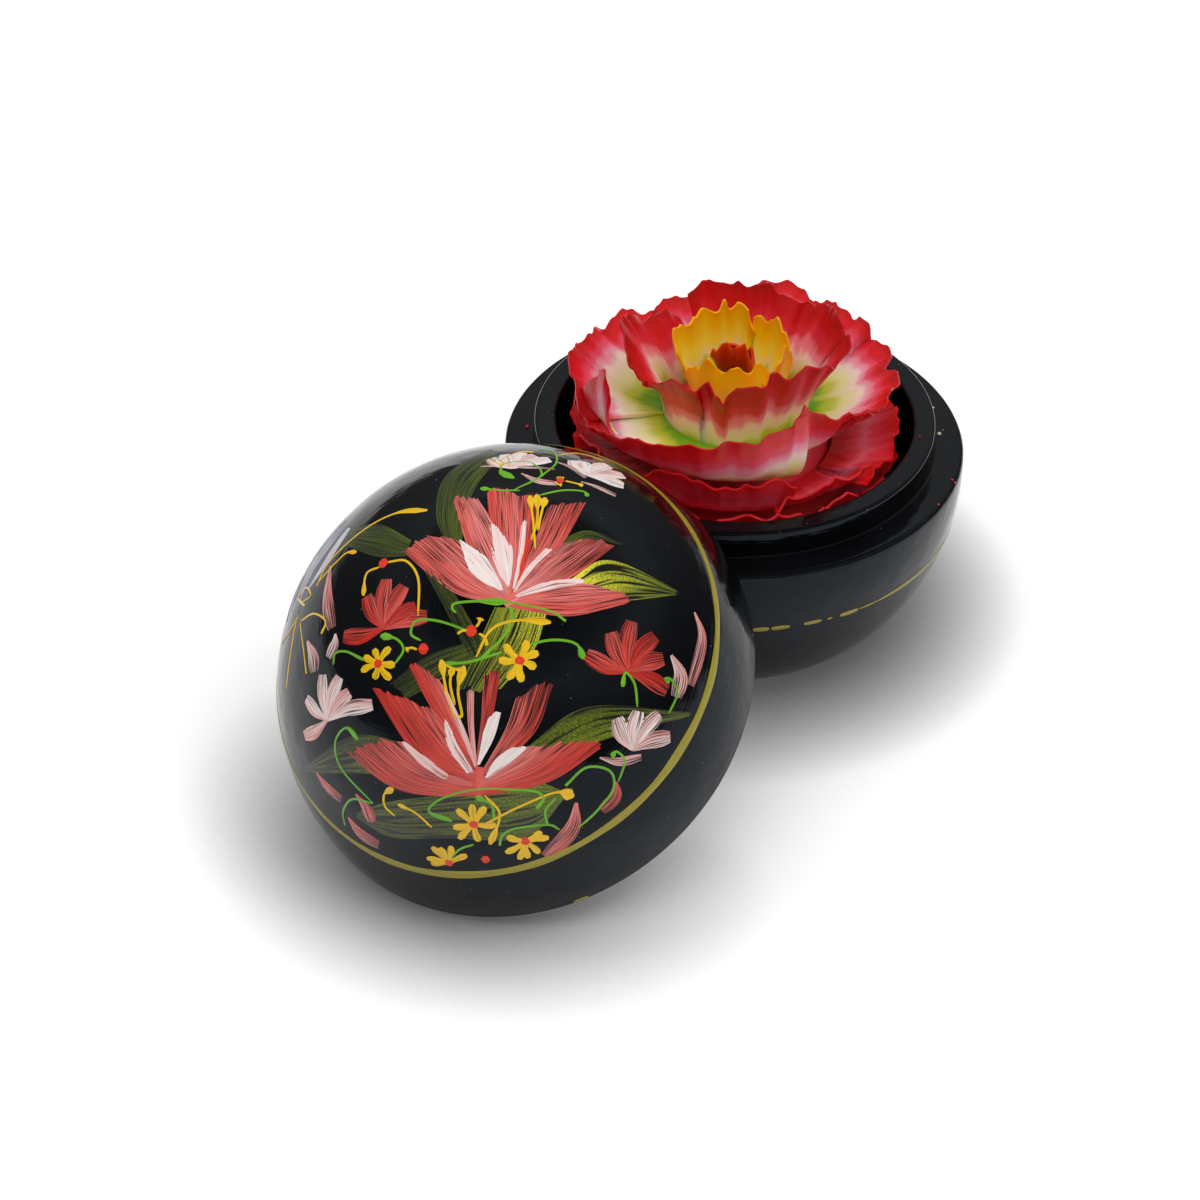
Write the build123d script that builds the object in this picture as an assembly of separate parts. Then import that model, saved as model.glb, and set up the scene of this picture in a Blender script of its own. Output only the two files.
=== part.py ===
import math
import os

from build123d import *

# A ball-shaped lacquered wooden box, open, with a flower carved from one cake of soap in its bowl.
# Millimetres, +Z up. The origin is the middle of the bowl's base, on the table.

# The turned wooden ball
BALL_RADIUS = 55.0          # outside of the bowl and of the lid
BASE_CUT = 12.0             # flat turned off the bowl's underside, measured up the ball's axis
BOWL_CENTRE_DROP = 4.0      # centre of the bowl's round below the ledge
EDGE_ROUND = 1.2            # outer edges of the ledge and of the lid's lip

# The bowl's ledge, its raised ring and its hollow
RING_INSET = 7.2            # raised ring that the lid fits over, inside the ball's outside
RING_WALL = 5.2             # thickness of the ring, out from the mouth of the hollow
RING_HEIGHT = 6.8           # ring above the ledge
RING_EDGE_ROUND = 0.8
RING_FOOT_ROUND = 0.5
FLOOR_THICKNESS = 7.0
HOLLOW_ROUND = 23.0         # large round between the hollow's wall and its floor

# The lid
LID_WALL = 8.0
LID_FIT_CLEARANCE = 0.5     # round the raised ring, and above it, when the box is closed
LID_LIP_CHAMFER = 0.4

# How the open lid leans: its lip on the table and on the raised ring
LEAN_ANGLE = 32.1           # lid's axis from upright
LEAN_DIRECTION = -124.8     # from the bowl to the lid, seen from above, from +X
LEAN_GAP = 0.3              # lid to the ring, and to the petals

# The soap flower. Its underside stands on the bowl's floor, and its other heights are above the ledge.
PETAL_CLEARANCE = 3.0       # widest petals to the wall of the hollow
CAKE_INSET = 8.0            # uncarved side of the cake inside the widest petals
CAKE_BASE_INSET = 2.6       # underside of the cake inside the flat of the bowl's floor
CAKE_BULGE = 3.0            # uncarved side outside the straight line from its foot to its widest height
CAKE_SIDE_DROP = 18.0       # widest height of the uncarved side below the ledge
PETAL_ROOT_THICKNESS = 2.4
PETAL_TIP_THICKNESS = 1.0
NICK_WIDTH = 3.4            # knife nicks along a petal's edge
NICK_DEPTH = 2.1
NICK_SPACING = 4.8
NICK_UNEVEN = 0.3           # share of the nick depth that comes and goes along an edge
PETAL_SWAY = 2.5            # degrees that petals of one row lean in and out, unlike each other
WIDEST_HALF_PETAL = 0.98    # sine of half the widest turn that a petal has round its own axis

ledge_height = BALL_RADIUS - BASE_CUT + BOWL_CENTRE_DROP
ledge_radius = math.sqrt(BALL_RADIUS**2 - BOWL_CENTRE_DROP**2)
bowl_centre_height = BALL_RADIUS - BASE_CUT
base_radius = math.sqrt(BALL_RADIUS**2 - bowl_centre_height**2)
ring_radius = BALL_RADIUS - RING_INSET
ring_top = ledge_height + RING_HEIGHT
bore_radius = ring_radius - RING_WALL
floor_radius = bore_radius - HOLLOW_ROUND
lid_bore_radius = ring_radius + LID_FIT_CLEARANCE
lid_recess_depth = RING_HEIGHT + LID_FIT_CLEARANCE
lid_inner_radius = BALL_RADIUS - LID_WALL
flower_radius = bore_radius - PETAL_CLEARANCE
cake_radius = flower_radius - CAKE_INSET
cake_base_radius = floor_radius - CAKE_BASE_INSET

# Each row of petals, from the heart outwards: how many, the petal's lower end, its belly and its tip
# as (radius, height), the radius at which it has its own axis to curl round, how far neighbours
# overlap, and the turn of the first petal in degrees.
HEART = dict(
    count=4, root=(2.6, 12.0), belly=(5.0, 21.0), tip=(4.6, 27.5), own_axis=0.4, overlap=0.95, turn=20.0
)
YELLOW_CUP = dict(
    count=5, root=(6.6, 10.0), belly=(11.4, 20.0), tip=(13.0, 30.0), own_axis=2.6, overlap=1.1, turn=54.0
)
TALL_RING = dict(
    count=6, root=(12.5, 7.0), belly=(19.0, 17.0), tip=(23.0, 30.5), own_axis=7.0, overlap=1.12, turn=-62.0
)
SPREAD_RING = dict(
    count=8,
    root=(15.0, 6.0),
    belly=(flower_radius - 11.6, 10.5),
    tip=(flower_radius - 1.6, 20.0),
    own_axis=12.0,
    overlap=1.1,
    turn=-90.0,
)
MIDDLE_ROW = dict(
    count=8,
    root=(20.0, -2.0),
    belly=(flower_radius - 8.6, 1.5),
    tip=(flower_radius - 0.8, 9.0),
    own_axis=15.0,
    overlap=1.08,
    turn=-68.0,
)
LOWEST_ROW = dict(
    count=9,
    root=(flower_radius - 15.6, -9.0),
    belly=(flower_radius - 8.1, -6.0),
    tip=(flower_radius - 1.8, 1.0),
    own_axis=13.0,
    overlap=1.06,
    turn=-90.0,
)
PETAL_ROWS = (HEART, YELLOW_CUP, TALL_RING, SPREAD_RING, MIDDLE_ROW, LOWEST_ROW)

# The top of the uncarved core, under the petals' inner ends
CORE_SHOULDER = (cake_radius - 6.6, -4.0)
CORE_SLOPE = (16.0, 8.5)
CORE_CUP = (7.5, 13.0)
CORE_TOP = 15.0


def circle_edges(solid, radius, height):
    """The solid's circular edges of this radius at this height."""
    found = []
    for edge in solid.edges():
        if edge.geom_type != GeomType.CIRCLE:
            continue
        if abs(edge.radius - radius) < 1e-3 and abs(edge.arc_center.Z - height) < 1e-3:
            found.append(edge)
    return found


def turned(*edges):
    """A solid turned on the lathe: the outline in the XZ plane, spun about Z."""
    return revolve(make_face(list(edges)), Axis.Z)


def make_bowl():
    """The lower half: flat base, round outside, flat ledge, raised ring and deep hollow."""
    outside_angle = math.radians(-20)
    outside_middle = (
        BALL_RADIUS * math.cos(outside_angle),
        0,
        bowl_centre_height + BALL_RADIUS * math.sin(outside_angle),
    )
    hollow_height = FLOOR_THICKNESS + HOLLOW_ROUND
    half_turn = math.sqrt(0.5) * HOLLOW_ROUND
    bowl = turned(
        Line((0, 0, 0), (base_radius, 0, 0)),
        ThreePointArc((base_radius, 0, 0), outside_middle, (ledge_radius, 0, ledge_height)),
        Line((ledge_radius, 0, ledge_height), (ring_radius, 0, ledge_height)),
        Line((ring_radius, 0, ledge_height), (ring_radius, 0, ring_top)),
        Line((ring_radius, 0, ring_top), (bore_radius, 0, ring_top)),
        Line((bore_radius, 0, ring_top), (bore_radius, 0, hollow_height)),
        ThreePointArc(
            (bore_radius, 0, hollow_height),
            (floor_radius + half_turn, 0, hollow_height - half_turn),
            (floor_radius, 0, FLOOR_THICKNESS),
        ),
        Line((floor_radius, 0, FLOOR_THICKNESS), (0, 0, FLOOR_THICKNESS)),
        Line((0, 0, FLOOR_THICKNESS), (0, 0, 0)),
    )
    bowl = fillet(circle_edges(bowl, ledge_radius, ledge_height), EDGE_ROUND)
    bowl = fillet(circle_edges(bowl, ring_radius, ledge_height), RING_FOOT_ROUND)
    ring_edges = circle_edges(bowl, ring_radius, ring_top) + circle_edges(bowl, bore_radius, ring_top)
    return fillet(ring_edges, RING_EDGE_ROUND)


def make_lid():
    """The upper half in its own frame: lip in the plane z = 0, dome upwards."""
    half = math.sqrt(0.5)
    shoulder_radius = math.sqrt(lid_inner_radius**2 - lid_recess_depth**2)
    inside_angle = 0.5 * (math.asin(lid_recess_depth / lid_inner_radius) + math.pi / 2)
    lid = turned(
        Line((lid_bore_radius, 0, 0), (BALL_RADIUS, 0, 0)),
        ThreePointArc((BALL_RADIUS, 0, 0), (BALL_RADIUS * half, 0, BALL_RADIUS * half), (0, 0, BALL_RADIUS)),
        Line((0, 0, BALL_RADIUS), (0, 0, lid_inner_radius)),
        ThreePointArc(
            (0, 0, lid_inner_radius),
            (lid_inner_radius * math.cos(inside_angle), 0, lid_inner_radius * math.sin(inside_angle)),
            (shoulder_radius, 0, lid_recess_depth),
        ),
        Line((shoulder_radius, 0, lid_recess_depth), (lid_bore_radius, 0, lid_recess_depth)),
        Line((lid_bore_radius, 0, lid_recess_depth), (lid_bore_radius, 0, 0)),
    )
    lid = fillet(circle_edges(lid, BALL_RADIUS, 0), EDGE_ROUND)
    return chamfer(circle_edges(lid, lid_bore_radius, 0), LID_LIP_CHAMFER)


def lip_clears_ring(reach, lip_height):
    """Whether the leaning lip passes over the ring's top edge everywhere, with the lean gap to spare."""
    lean = math.radians(LEAN_ANGLE)
    for degrees in range(0, 61):
        along = ring_radius * math.cos(math.radians(degrees)) - reach
        across = ring_radius * math.sin(math.radians(degrees))
        rise = ring_top - lip_height
        above_lip = along * math.sin(lean) + rise * math.cos(lean)
        from_lid_axis = math.hypot(along * math.cos(lean) - rise * math.sin(lean), across)
        under_the_lip = lid_bore_radius <= from_lid_axis < BALL_RADIUS
        if under_the_lip and above_lip > -LEAN_GAP:
            return False
    return True


def lean_place():
    """Distance of the lid's mouth from the bowl's axis, and its height, with the lip on the table."""
    lean = math.radians(LEAN_ANGLE)
    lip_height = (BALL_RADIUS - EDGE_ROUND) * math.sin(lean) + EDGE_ROUND * (1 - math.cos(lean))
    near = 0.5 * BALL_RADIUS
    far = 3.0 * BALL_RADIUS
    for _ in range(40):
        middle = 0.5 * (near + far)
        if lip_clears_ring(middle, lip_height):
            far = middle
        else:
            near = middle
    clear_of_petals = flower_radius + LEAN_GAP + BALL_RADIUS * math.cos(lean)
    return max(far, clear_of_petals), lip_height


def make_core():
    """What is left of the soap cake inside the petals: flat below, round at the side, domed above."""
    side_height = ledge_height - CAKE_SIDE_DROP
    foot = (cake_base_radius, 0, FLOOR_THICKNESS)
    side = (cake_radius, 0, side_height)
    belly_height = FLOOR_THICKNESS + (side_height - FLOOR_THICKNESS) / 3
    belly = (0.5 * (cake_base_radius + cake_radius) + CAKE_BULGE, 0, belly_height)
    shoulder = (CORE_SHOULDER[0], 0, ledge_height + CORE_SHOULDER[1])
    slope = (CORE_SLOPE[0], 0, ledge_height + CORE_SLOPE[1])
    cup = (CORE_CUP[0], 0, ledge_height + CORE_CUP[1])
    top = (0, 0, ledge_height + CORE_TOP)
    return turned(
        Line((0, 0, FLOOR_THICKNESS), foot),
        ThreePointArc(foot, belly, side),
        Line(side, shoulder),
        Line(shoulder, slope),
        Line(slope, cup),
        Line(cup, top),
        Line(top, (0, 0, FLOOR_THICKNESS)),
    )


def petal_outline(row):
    """A petal's section in the XZ plane: a curved band, thicker at its root than at its tip."""
    root_radius, root_height = row["root"]
    belly_radius, belly_height = row["belly"]
    tip_radius, tip_height = row["tip"]
    half_root = 0.5 * PETAL_ROOT_THICKNESS
    half_belly = 0.25 * (PETAL_ROOT_THICKNESS + PETAL_TIP_THICKNESS)
    slant = math.sqrt(0.5)
    inner_root = (root_radius - slant * half_root, 0, root_height + slant * half_root)
    outer_root = (root_radius + slant * half_root, 0, root_height - slant * half_root)
    inner_belly = (belly_radius - slant * half_belly, 0, belly_height + slant * half_belly)
    outer_belly = (belly_radius + slant * half_belly, 0, belly_height - slant * half_belly)
    inner_tip = (tip_radius - PETAL_TIP_THICKNESS, 0, tip_height)
    outer_tip = (tip_radius, 0, tip_height - 0.5 * PETAL_TIP_THICKNESS)
    return make_face(
        [
            ThreePointArc(inner_root, inner_belly, inner_tip),
            Line(inner_tip, outer_tip),
            ThreePointArc(outer_tip, outer_belly, outer_root),
            Line(outer_root, inner_root),
        ]
    )


def make_nick(row, index, step):
    """A V-shaped cutter for one knife nick, reaching out along X across the petal's edge."""
    tip_radius, tip_height = row["tip"]
    unevenness = math.sin(5.1 * step + 1.7 * index)
    depth = NICK_DEPTH * (1 - NICK_UNEVEN + NICK_UNEVEN * unevenness)
    above = tip_height + PETAL_TIP_THICKNESS
    left = (0, -0.5 * NICK_WIDTH, above)
    right = (0, 0.5 * NICK_WIDTH, above)
    triangle = make_face(Polyline(left, (0, 0, tip_height - depth), right, close=True))
    return extrude(triangle, 2 * tip_radius, dir=(1, 0, 0))


def make_petal(row, index):
    """One thin petal: its section spun part of a turn about an axis of its own, with a nicked edge."""
    pitch = 360.0 / row["count"]
    tip_radius = row["tip"][0]
    axis_shift = row["own_axis"]
    local_radius = tip_radius - axis_shift
    reach_to_next = tip_radius * math.sin(math.radians(0.5 * pitch))
    half_span = math.degrees(math.asin(min(WIDEST_HALF_PETAL, reach_to_next / local_radius)))
    span = 2 * half_span * row["overlap"]
    own_axis = Axis((axis_shift, 0, 0), (0, 0, 1))
    petal = revolve(petal_outline(row), own_axis, revolution_arc=span).rotate(own_axis, -0.5 * span)
    nick_count = max(2, round(math.radians(span) * local_radius / NICK_SPACING))
    nicks = []
    for step in range(nick_count):
        turn = ((step + 0.5) / nick_count - 0.5) * span
        nicks.append(Pos(axis_shift, 0, 0) * Rot(0, 0, turn) * make_nick(row, index, step))
    petal = petal - nicks
    sway = math.sin(2.4 * index + row["count"])
    root = Pos(row["root"][0], 0, row["root"][1])
    swayed = root * Rot(0, -PETAL_SWAY * (1 + sway), 0) * root.inverse() * petal
    return Pos(0, 0, ledge_height) * Rot(0, 0, row["turn"] + index * pitch + PETAL_SWAY * sway) * swayed


def make_flower():
    """The whole carving, one solid, standing on the bowl's floor."""
    petals = []
    for row in PETAL_ROWS:
        for index in range(row["count"]):
            petals.append(make_petal(row, index))
    return make_core() + petals


def main():
    os.makedirs("parts", exist_ok=True)
    reach, lip_height = lean_place()
    leaning = Rot(0, 0, LEAN_DIRECTION) * Pos(reach, 0, lip_height) * Rot(0, LEAN_ANGLE, 0)
    export_step(make_bowl(), "parts/bowl.step")
    export_step(leaning * make_lid(), "parts/lid.step")
    export_step(make_flower(), "parts/soap_flower.step")


main()
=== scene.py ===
import math

import bmesh
import bpy
import numpy as np
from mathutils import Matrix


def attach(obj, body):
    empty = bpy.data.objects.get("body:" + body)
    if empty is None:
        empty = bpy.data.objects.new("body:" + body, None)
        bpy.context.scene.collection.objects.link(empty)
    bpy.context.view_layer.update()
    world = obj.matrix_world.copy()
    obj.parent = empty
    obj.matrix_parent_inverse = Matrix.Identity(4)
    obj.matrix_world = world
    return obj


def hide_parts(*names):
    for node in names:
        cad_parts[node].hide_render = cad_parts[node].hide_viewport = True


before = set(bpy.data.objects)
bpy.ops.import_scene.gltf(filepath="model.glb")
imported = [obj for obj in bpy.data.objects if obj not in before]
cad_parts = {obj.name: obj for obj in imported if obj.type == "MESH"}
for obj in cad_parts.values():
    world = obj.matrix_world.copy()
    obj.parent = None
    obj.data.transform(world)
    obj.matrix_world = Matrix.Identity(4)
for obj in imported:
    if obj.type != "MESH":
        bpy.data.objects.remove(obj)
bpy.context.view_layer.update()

# The table, the studio and the camera
# A table covered with white paper, lit by a large soft lamp overhead, a smaller one at the right and a small
# one low behind. The paper keeps the box's soft shadow, and a painted shade darkens it further where the box
# stands on it. Lengths in this section are in metres, and from the bowl on they are in mm.

MM = 0.001
FLOOR_SIZE = 12.0
FLOOR_DROP = 0.00005
FLOOR_GLOW = 0.08
# Painted shade on the paper round the box: how far it reaches in m, and how fast it deepens towards the box.
PAINTED_SHADE_REACH = 0.030
PAINTED_SHADE_POWER = 1.7
AMBIENT = 0.52
CAMERA_PLACE = (-0.0321, -0.6228, 0.4796)
CAMERA_TILT = 52.28
CAMERA_LENS = 94.77


def srgb(code):
    """An sRGB hex colour as a linear colour."""
    channels = []
    for place in (1, 3, 5):
        value = int(code[place:place + 2], 16) / 255
        channels.append(value / 12.92 if value <= 0.04045 else ((value + 0.055) / 1.055) ** 2.4)
    return (*channels, 1.0)


def add_node(tree, kind, links=None, stops=(), **settings):
    """Adds one node: settings are its properties, links are values or sources by input, and stops are a
    ramp's places and colours."""
    node = tree.nodes.new(kind)
    for name, value in settings.items():
        setattr(node, name, value)
    for name, value in (links or {}).items():
        if isinstance(value, bpy.types.NodeSocket):
            tree.links.new(value, node.inputs[name])
        else:
            node.inputs[name].default_value = value
    for index, (place, code) in enumerate(stops):
        elements = node.color_ramp.elements
        element = elements[index] if index < 2 else elements.new(place)
        element.position = place
        element.color = srgb(code)
    return node


def new_material(name):
    """An empty node material and its tree."""
    material = bpy.data.materials.new(name)
    material.use_nodes = True
    material.node_tree.nodes.clear()
    return material, material.node_tree


def background_rays(tree):
    """1 for rays that see the background: from the camera, or by way of gloss or glass."""
    path = add_node(tree, "ShaderNodeLightPath")
    seen = add_node(
        tree,
        "ShaderNodeMath",
        {0: path.outputs["Is Camera Ray"], 1: path.outputs["Is Glossy Ray"]},
        operation="MAXIMUM",
    )
    return add_node(
        tree,
        "ShaderNodeMath",
        {0: seen.outputs[0], 1: path.outputs["Is Transmission Ray"]},
        operation="MAXIMUM",
    )


# White paper, matt and slightly uneven in tone. A painted shade darkens its colour in the last few
# centimetres round the box, and a little light of its own, seen by the camera and in gloss only, lifts it to
# plain white.
paper, tree = new_material("matt_white_paper")
seen = background_rays(tree)
cloud = add_node(tree, "ShaderNodeTexNoise", {"Scale": 3.0, "Detail": 1.0})
tone = add_node(
    tree, "ShaderNodeValToRGB", {0: cloud.outputs[0]}, stops=((0.3, "#fafafa"), (0.7, "#fdfdfd"))
)
# Painted shade: where the box closes the paper in, the paper's colour goes towards a dark warm grey
# (#1e1b1a).
painted_shade_occlusion = add_node(
    tree,
    "ShaderNodeAmbientOcclusion",
    {"Color": tone.outputs[0], "Distance": PAINTED_SHADE_REACH},
    samples=8,
)
painted_shade_depth = add_node(tree, "ShaderNodeMath", {0: painted_shade_occlusion.outputs["AO"], 1: PAINTED_SHADE_POWER}, operation="POWER")
paper_with_painted_shade = add_node(
    tree, "ShaderNodeMix", {0: painted_shade_depth.outputs[0], 6: srgb("#1e1b1a"), 7: tone.outputs[0]}, data_type="RGBA"
)
matt = add_node(tree, "ShaderNodeBsdfDiffuse", {"Color": paper_with_painted_shade.outputs[2]})
glow = add_node(tree, "ShaderNodeEmission", {"Color": srgb("#fffdfc"), "Strength": FLOOR_GLOW})
none = add_node(tree, "ShaderNodeEmission", {"Strength": 0.0})
shown = add_node(tree, "ShaderNodeMixShader", {0: seen.outputs[0], 1: none.outputs[0], 2: glow.outputs[0]})
both = add_node(tree, "ShaderNodeAddShader", {0: matt.outputs[0], 1: shown.outputs[0]})
add_node(tree, "ShaderNodeOutputMaterial", {0: both.outputs[0]})

half_floor = FLOOR_SIZE / 2
floor_mesh = bpy.data.meshes.new("table")
floor_mesh.from_pydata(
    [
        (-half_floor, -half_floor, -FLOOR_DROP),
        (half_floor, -half_floor, -FLOOR_DROP),
        (half_floor, half_floor, -FLOOR_DROP),
        (-half_floor, half_floor, -FLOOR_DROP),
    ],
    [],
    [(0, 1, 2, 3)],
)
floor_mesh.materials.append(paper)
table = bpy.data.objects.new("table", floor_mesh)
bpy.context.scene.collection.objects.link(table)

# The room, as gloss mirrors it by height: grey walls, a pale band above them and a dim ceiling. The object
# gets even white light from the upper half of it.
world = bpy.data.worlds.new("studio")
world.use_nodes = True
bpy.context.scene.world = world
tree = world.node_tree
tree.nodes.clear()
seen = background_rays(tree)
direction = add_node(tree, "ShaderNodeTexCoord")
upwards = add_node(tree, "ShaderNodeSeparateXYZ", {0: direction.outputs["Generated"]})
room = add_node(
    tree,
    "ShaderNodeValToRGB",
    {0: upwards.outputs["Z"]},
    stops=((0.0, "#747474"), (0.10, "#5c5c5c"), (0.40, "#8a8a8a"), (0.62, "#c6c6c6"), (0.85, "#585858")),
)
backdrop = add_node(tree, "ShaderNodeBackground", {"Color": room.outputs[0], "Strength": 1.0})
from_above = add_node(
    tree,
    "ShaderNodeMapRange",
    {0: upwards.outputs["Z"], 1: 0.1, 2: 0.7, 3: 0.0, 4: AMBIENT},
    interpolation_type="SMOOTHSTEP",
)
ambient = add_node(tree, "ShaderNodeBackground", {"Color": (1, 1, 1, 1), "Strength": from_above.outputs[0]})
mixed = add_node(
    tree, "ShaderNodeMixShader", {0: seen.outputs[0], 1: ambient.outputs[0], 2: backdrop.outputs[0]}
)
add_node(tree, "ShaderNodeOutputWorld", {0: mixed.outputs[0]})

# Each lamp has its place, its size and its power in watts.
for name, place, size, power in (
    ("softbox_overhead", (-0.15, -0.10, 2.50), 3.2, 51.0),
    ("softbox_right", (1.50, -1.00, 2.20), 1.4, 16.0),
    ("small_lamp_behind", (-0.55, 1.30, 0.22), 0.16, 0.8),
):
    lamp = bpy.data.lights.new(name, "AREA")
    lamp.size = size
    lamp.energy = power
    holder = bpy.data.objects.new(name, lamp)
    bpy.context.scene.collection.objects.link(holder)
    holder.location = place
    aim = -np.array(place)
    holder.rotation_euler = (
        math.atan2(math.hypot(aim[0], aim[1]), -aim[2]),
        0.0,
        math.atan2(aim[0], -aim[1]) + math.pi,
    )
    holder.visible_glossy = False

camera = bpy.data.objects.new("camera", bpy.data.cameras.new("camera"))
bpy.context.scene.collection.objects.link(camera)
camera.data.lens = CAMERA_LENS
camera.data.sensor_width = 36.0
camera.data.clip_start = 0.01
camera.location = CAMERA_PLACE
camera.rotation_euler = (math.radians(CAMERA_TILT), 0.0, 0.0)
bpy.context.scene.camera = camera
bpy.context.scene.view_settings.view_transform = "Standard"

# The bowl
# The lower half of the box, turned from one block of wood: a round outside, a flat ledge, a raised ring that
# the lid fits over, and a deep hollow. It has coats of black lacquer, brushed on while it turned.

BALL_RADIUS = 55.0
LEDGE_HEIGHT = 47.0
BALL_CENTRE = 43.0
LEDGE_ROUND = 1.2
FOOT_ROUND = 0.8
RING_RADIUS = 47.8
RING_TOP = 53.8
RING_ROUND = 0.8
RING_FOOT_ROUND = 0.5
BORE_RADIUS = 42.6
BOWL_FLOOR = 7.0
HOLLOW_ROUND = 23.0
EDGE_STEP = 0.2
TURNED_SEGMENTS = 320
SHARP_ANGLE = 42
LACQUER_UNEVEN = 0.05
UNEVEN_WAVES = ((9, 0.21, 0), (23, -0.47, 1), (4, 0.6, 0))


def line(start, end, steps):
    """Points of a straight stretch of a turned outline, as (radius, height)."""
    return np.linspace(start, end, steps)


def arc(centre, radius, start, end, steps):
    """Points of a round stretch of a turned outline, between two angles in degrees."""
    turn = np.radians(np.linspace(start, end, steps))
    return np.stack([centre[0] + radius * np.cos(turn), centre[1] + radius * np.sin(turn)], 1)


def lathe(outline, unevenness):
    """A turned shape in mm: its corners, faces and how far each corner is along the outline."""
    steps = np.linalg.norm(np.diff(outline, axis=0), axis=1)
    outline = outline[np.concatenate([[True], steps > 1e-4])]
    steps = np.linalg.norm(np.diff(outline, axis=0), axis=1)
    travelled = np.concatenate([[0.0], np.cumsum(steps)])
    along = np.gradient(outline, travelled, axis=0)
    outwards = np.stack([along[:, 1], -along[:, 0]], 1)
    outwards /= np.linalg.norm(outwards, axis=1)[:, None]
    turn = np.linspace(0, 2 * np.pi, TURNED_SEGMENTS, endpoint=False)[None, :]
    wave = sum(
        np.sin(count * turn + slant * travelled[:, None] + start) for count, slant, start in UNEVEN_WAVES
    )
    shift = -unevenness * (0.5 + wave / (2 * len(UNEVEN_WAVES)))
    radius = outline[:, :1] + shift * outwards[:, :1]
    height = outline[:, 1:] + shift * outwards[:, 1:]
    rings = np.stack(
        [radius * np.cos(turn), radius * np.sin(turn), np.broadcast_to(height, shift.shape)], 2
    )
    inner = rings[1:-1].reshape(-1, 3)
    first = np.array([[0.0, 0.0, outline[0, 1]]])
    last = np.array([[0.0, 0.0, outline[-1, 1]]])
    corners = np.concatenate([inner, first, last])
    count = len(outline) - 2
    faces = []
    for ring in range(count - 1):
        for step in range(TURNED_SEGMENTS):
            after = (step + 1) % TURNED_SEGMENTS
            low, high = ring * TURNED_SEGMENTS, (ring + 1) * TURNED_SEGMENTS
            faces.append((low + step, low + after, high + after, high + step))
    top = (count - 1) * TURNED_SEGMENTS
    for step in range(TURNED_SEGMENTS):
        after = (step + 1) % TURNED_SEGMENTS
        faces.append((len(inner), after, step))
        faces.append((len(inner) + 1, top + step, top + after))
    distance = np.concatenate([np.repeat(travelled[1:-1], TURNED_SEGMENTS), travelled[[0, -1]]])
    return corners, faces, distance


def make_piece(name, corners, faces, material, body, values=None, flat_map=None, closed=False):
    """A piece from corners in mm: smooth, riding on its body, with a value or a flat map for each corner."""
    mesh = bpy.data.meshes.new(name)
    mesh.from_pydata((np.asarray(corners) * MM).tolist(), [], faces)
    if closed:
        shell = bmesh.new()
        shell.from_mesh(mesh)
        bmesh.ops.recalc_face_normals(shell, faces=shell.faces)
        shell.to_mesh(mesh)
        shell.free()
    mesh.polygons.foreach_set("use_smooth", [True] * len(mesh.polygons))
    mesh.set_sharp_from_angle(angle=math.radians(SHARP_ANGLE))
    for value_name, numbers in (values or {}).items():
        attribute = mesh.attributes.new(value_name, "FLOAT", "POINT")
        attribute.data.foreach_set("value", np.asarray(numbers, np.float32))
    if flat_map is not None:
        corner_of_loop = np.zeros(len(mesh.loops), np.int32)
        mesh.loops.foreach_get("vertex_index", corner_of_loop)
        layer = mesh.uv_layers.new(name="stroke_mm")
        layer.data.foreach_set("uv", np.asarray(flat_map, np.float32)[corner_of_loop].ravel())
    mesh.materials.append(material)
    piece = bpy.data.objects.new(name, mesh)
    bpy.context.scene.collection.objects.link(piece)
    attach(piece, body)
    return piece


# Black lacquer over wood, brushed on the turning piece and left glossy. It mirrors the table in a pale
# blue-grey, with faint brush lines round the axis, a slight orange peel and nibs of dust caught in it. The
# nibs are coloured pale blue-grey, partly the dust's own colour and partly a painted glint. Real lacquer has
# an IOR near 1.5, set lower here because the coat mirrors its surroundings more weakly.
BRUSH_LINE = 0.9
BRUSH_RUN = 30.0
BRUSH_DEPTH = 0.04
PEEL_SIZE = 5.882
PEEL_DEPTH = 0.17
CLOUD_SIZE = 22.22
DUST_SPACING = 3.571
NIB_HEIGHT = 0.05
LACQUER_IOR = 1.31
lacquer, tree = new_material("brushed_black_lacquer")
place = add_node(tree, "ShaderNodeTexCoord")
spread = add_node(tree, "ShaderNodeSeparateXYZ", {0: place.outputs["Object"]})
outline_mm = add_node(tree, "ShaderNodeAttribute", attribute_name="outline_mm")
stretched = []
for socket, size in (
    (outline_mm.outputs["Fac"], BRUSH_LINE),
    (spread.outputs["X"], BRUSH_RUN * MM),
    (spread.outputs["Y"], BRUSH_RUN * MM),
):
    stretched.append(add_node(tree, "ShaderNodeMath", {0: socket, 1: size}, operation="DIVIDE").outputs[0])
brush_place = add_node(tree, "ShaderNodeCombineXYZ", dict(enumerate(stretched)))
brush = add_node(
    tree, "ShaderNodeTexNoise", {"Vector": brush_place.outputs[0], "Scale": 1.0, "Detail": 3.0}
)
spot = place.outputs["Object"]
peel = add_node(tree, "ShaderNodeTexNoise", {"Vector": spot, "Scale": 1 / (PEEL_SIZE * MM), "Detail": 1.0})
cloud = add_node(
    tree, "ShaderNodeTexNoise", {"Vector": spot, "Scale": 1 / (CLOUD_SIZE * MM), "Detail": 2.0}
)
tone = add_node(
    tree, "ShaderNodeValToRGB", {0: cloud.outputs[0]}, stops=((0.35, "#050506"), (0.65, "#0a0b0d"))
)
rough = add_node(tree, "ShaderNodeMapRange", {0: cloud.outputs[0], 1: 0.3, 2: 0.7, 3: 0.025, 4: 0.08})
lines = add_node(
    tree, "ShaderNodeBump", {"Height": brush.outputs[0], "Strength": 1.0, "Distance": BRUSH_DEPTH * MM}
)
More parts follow.
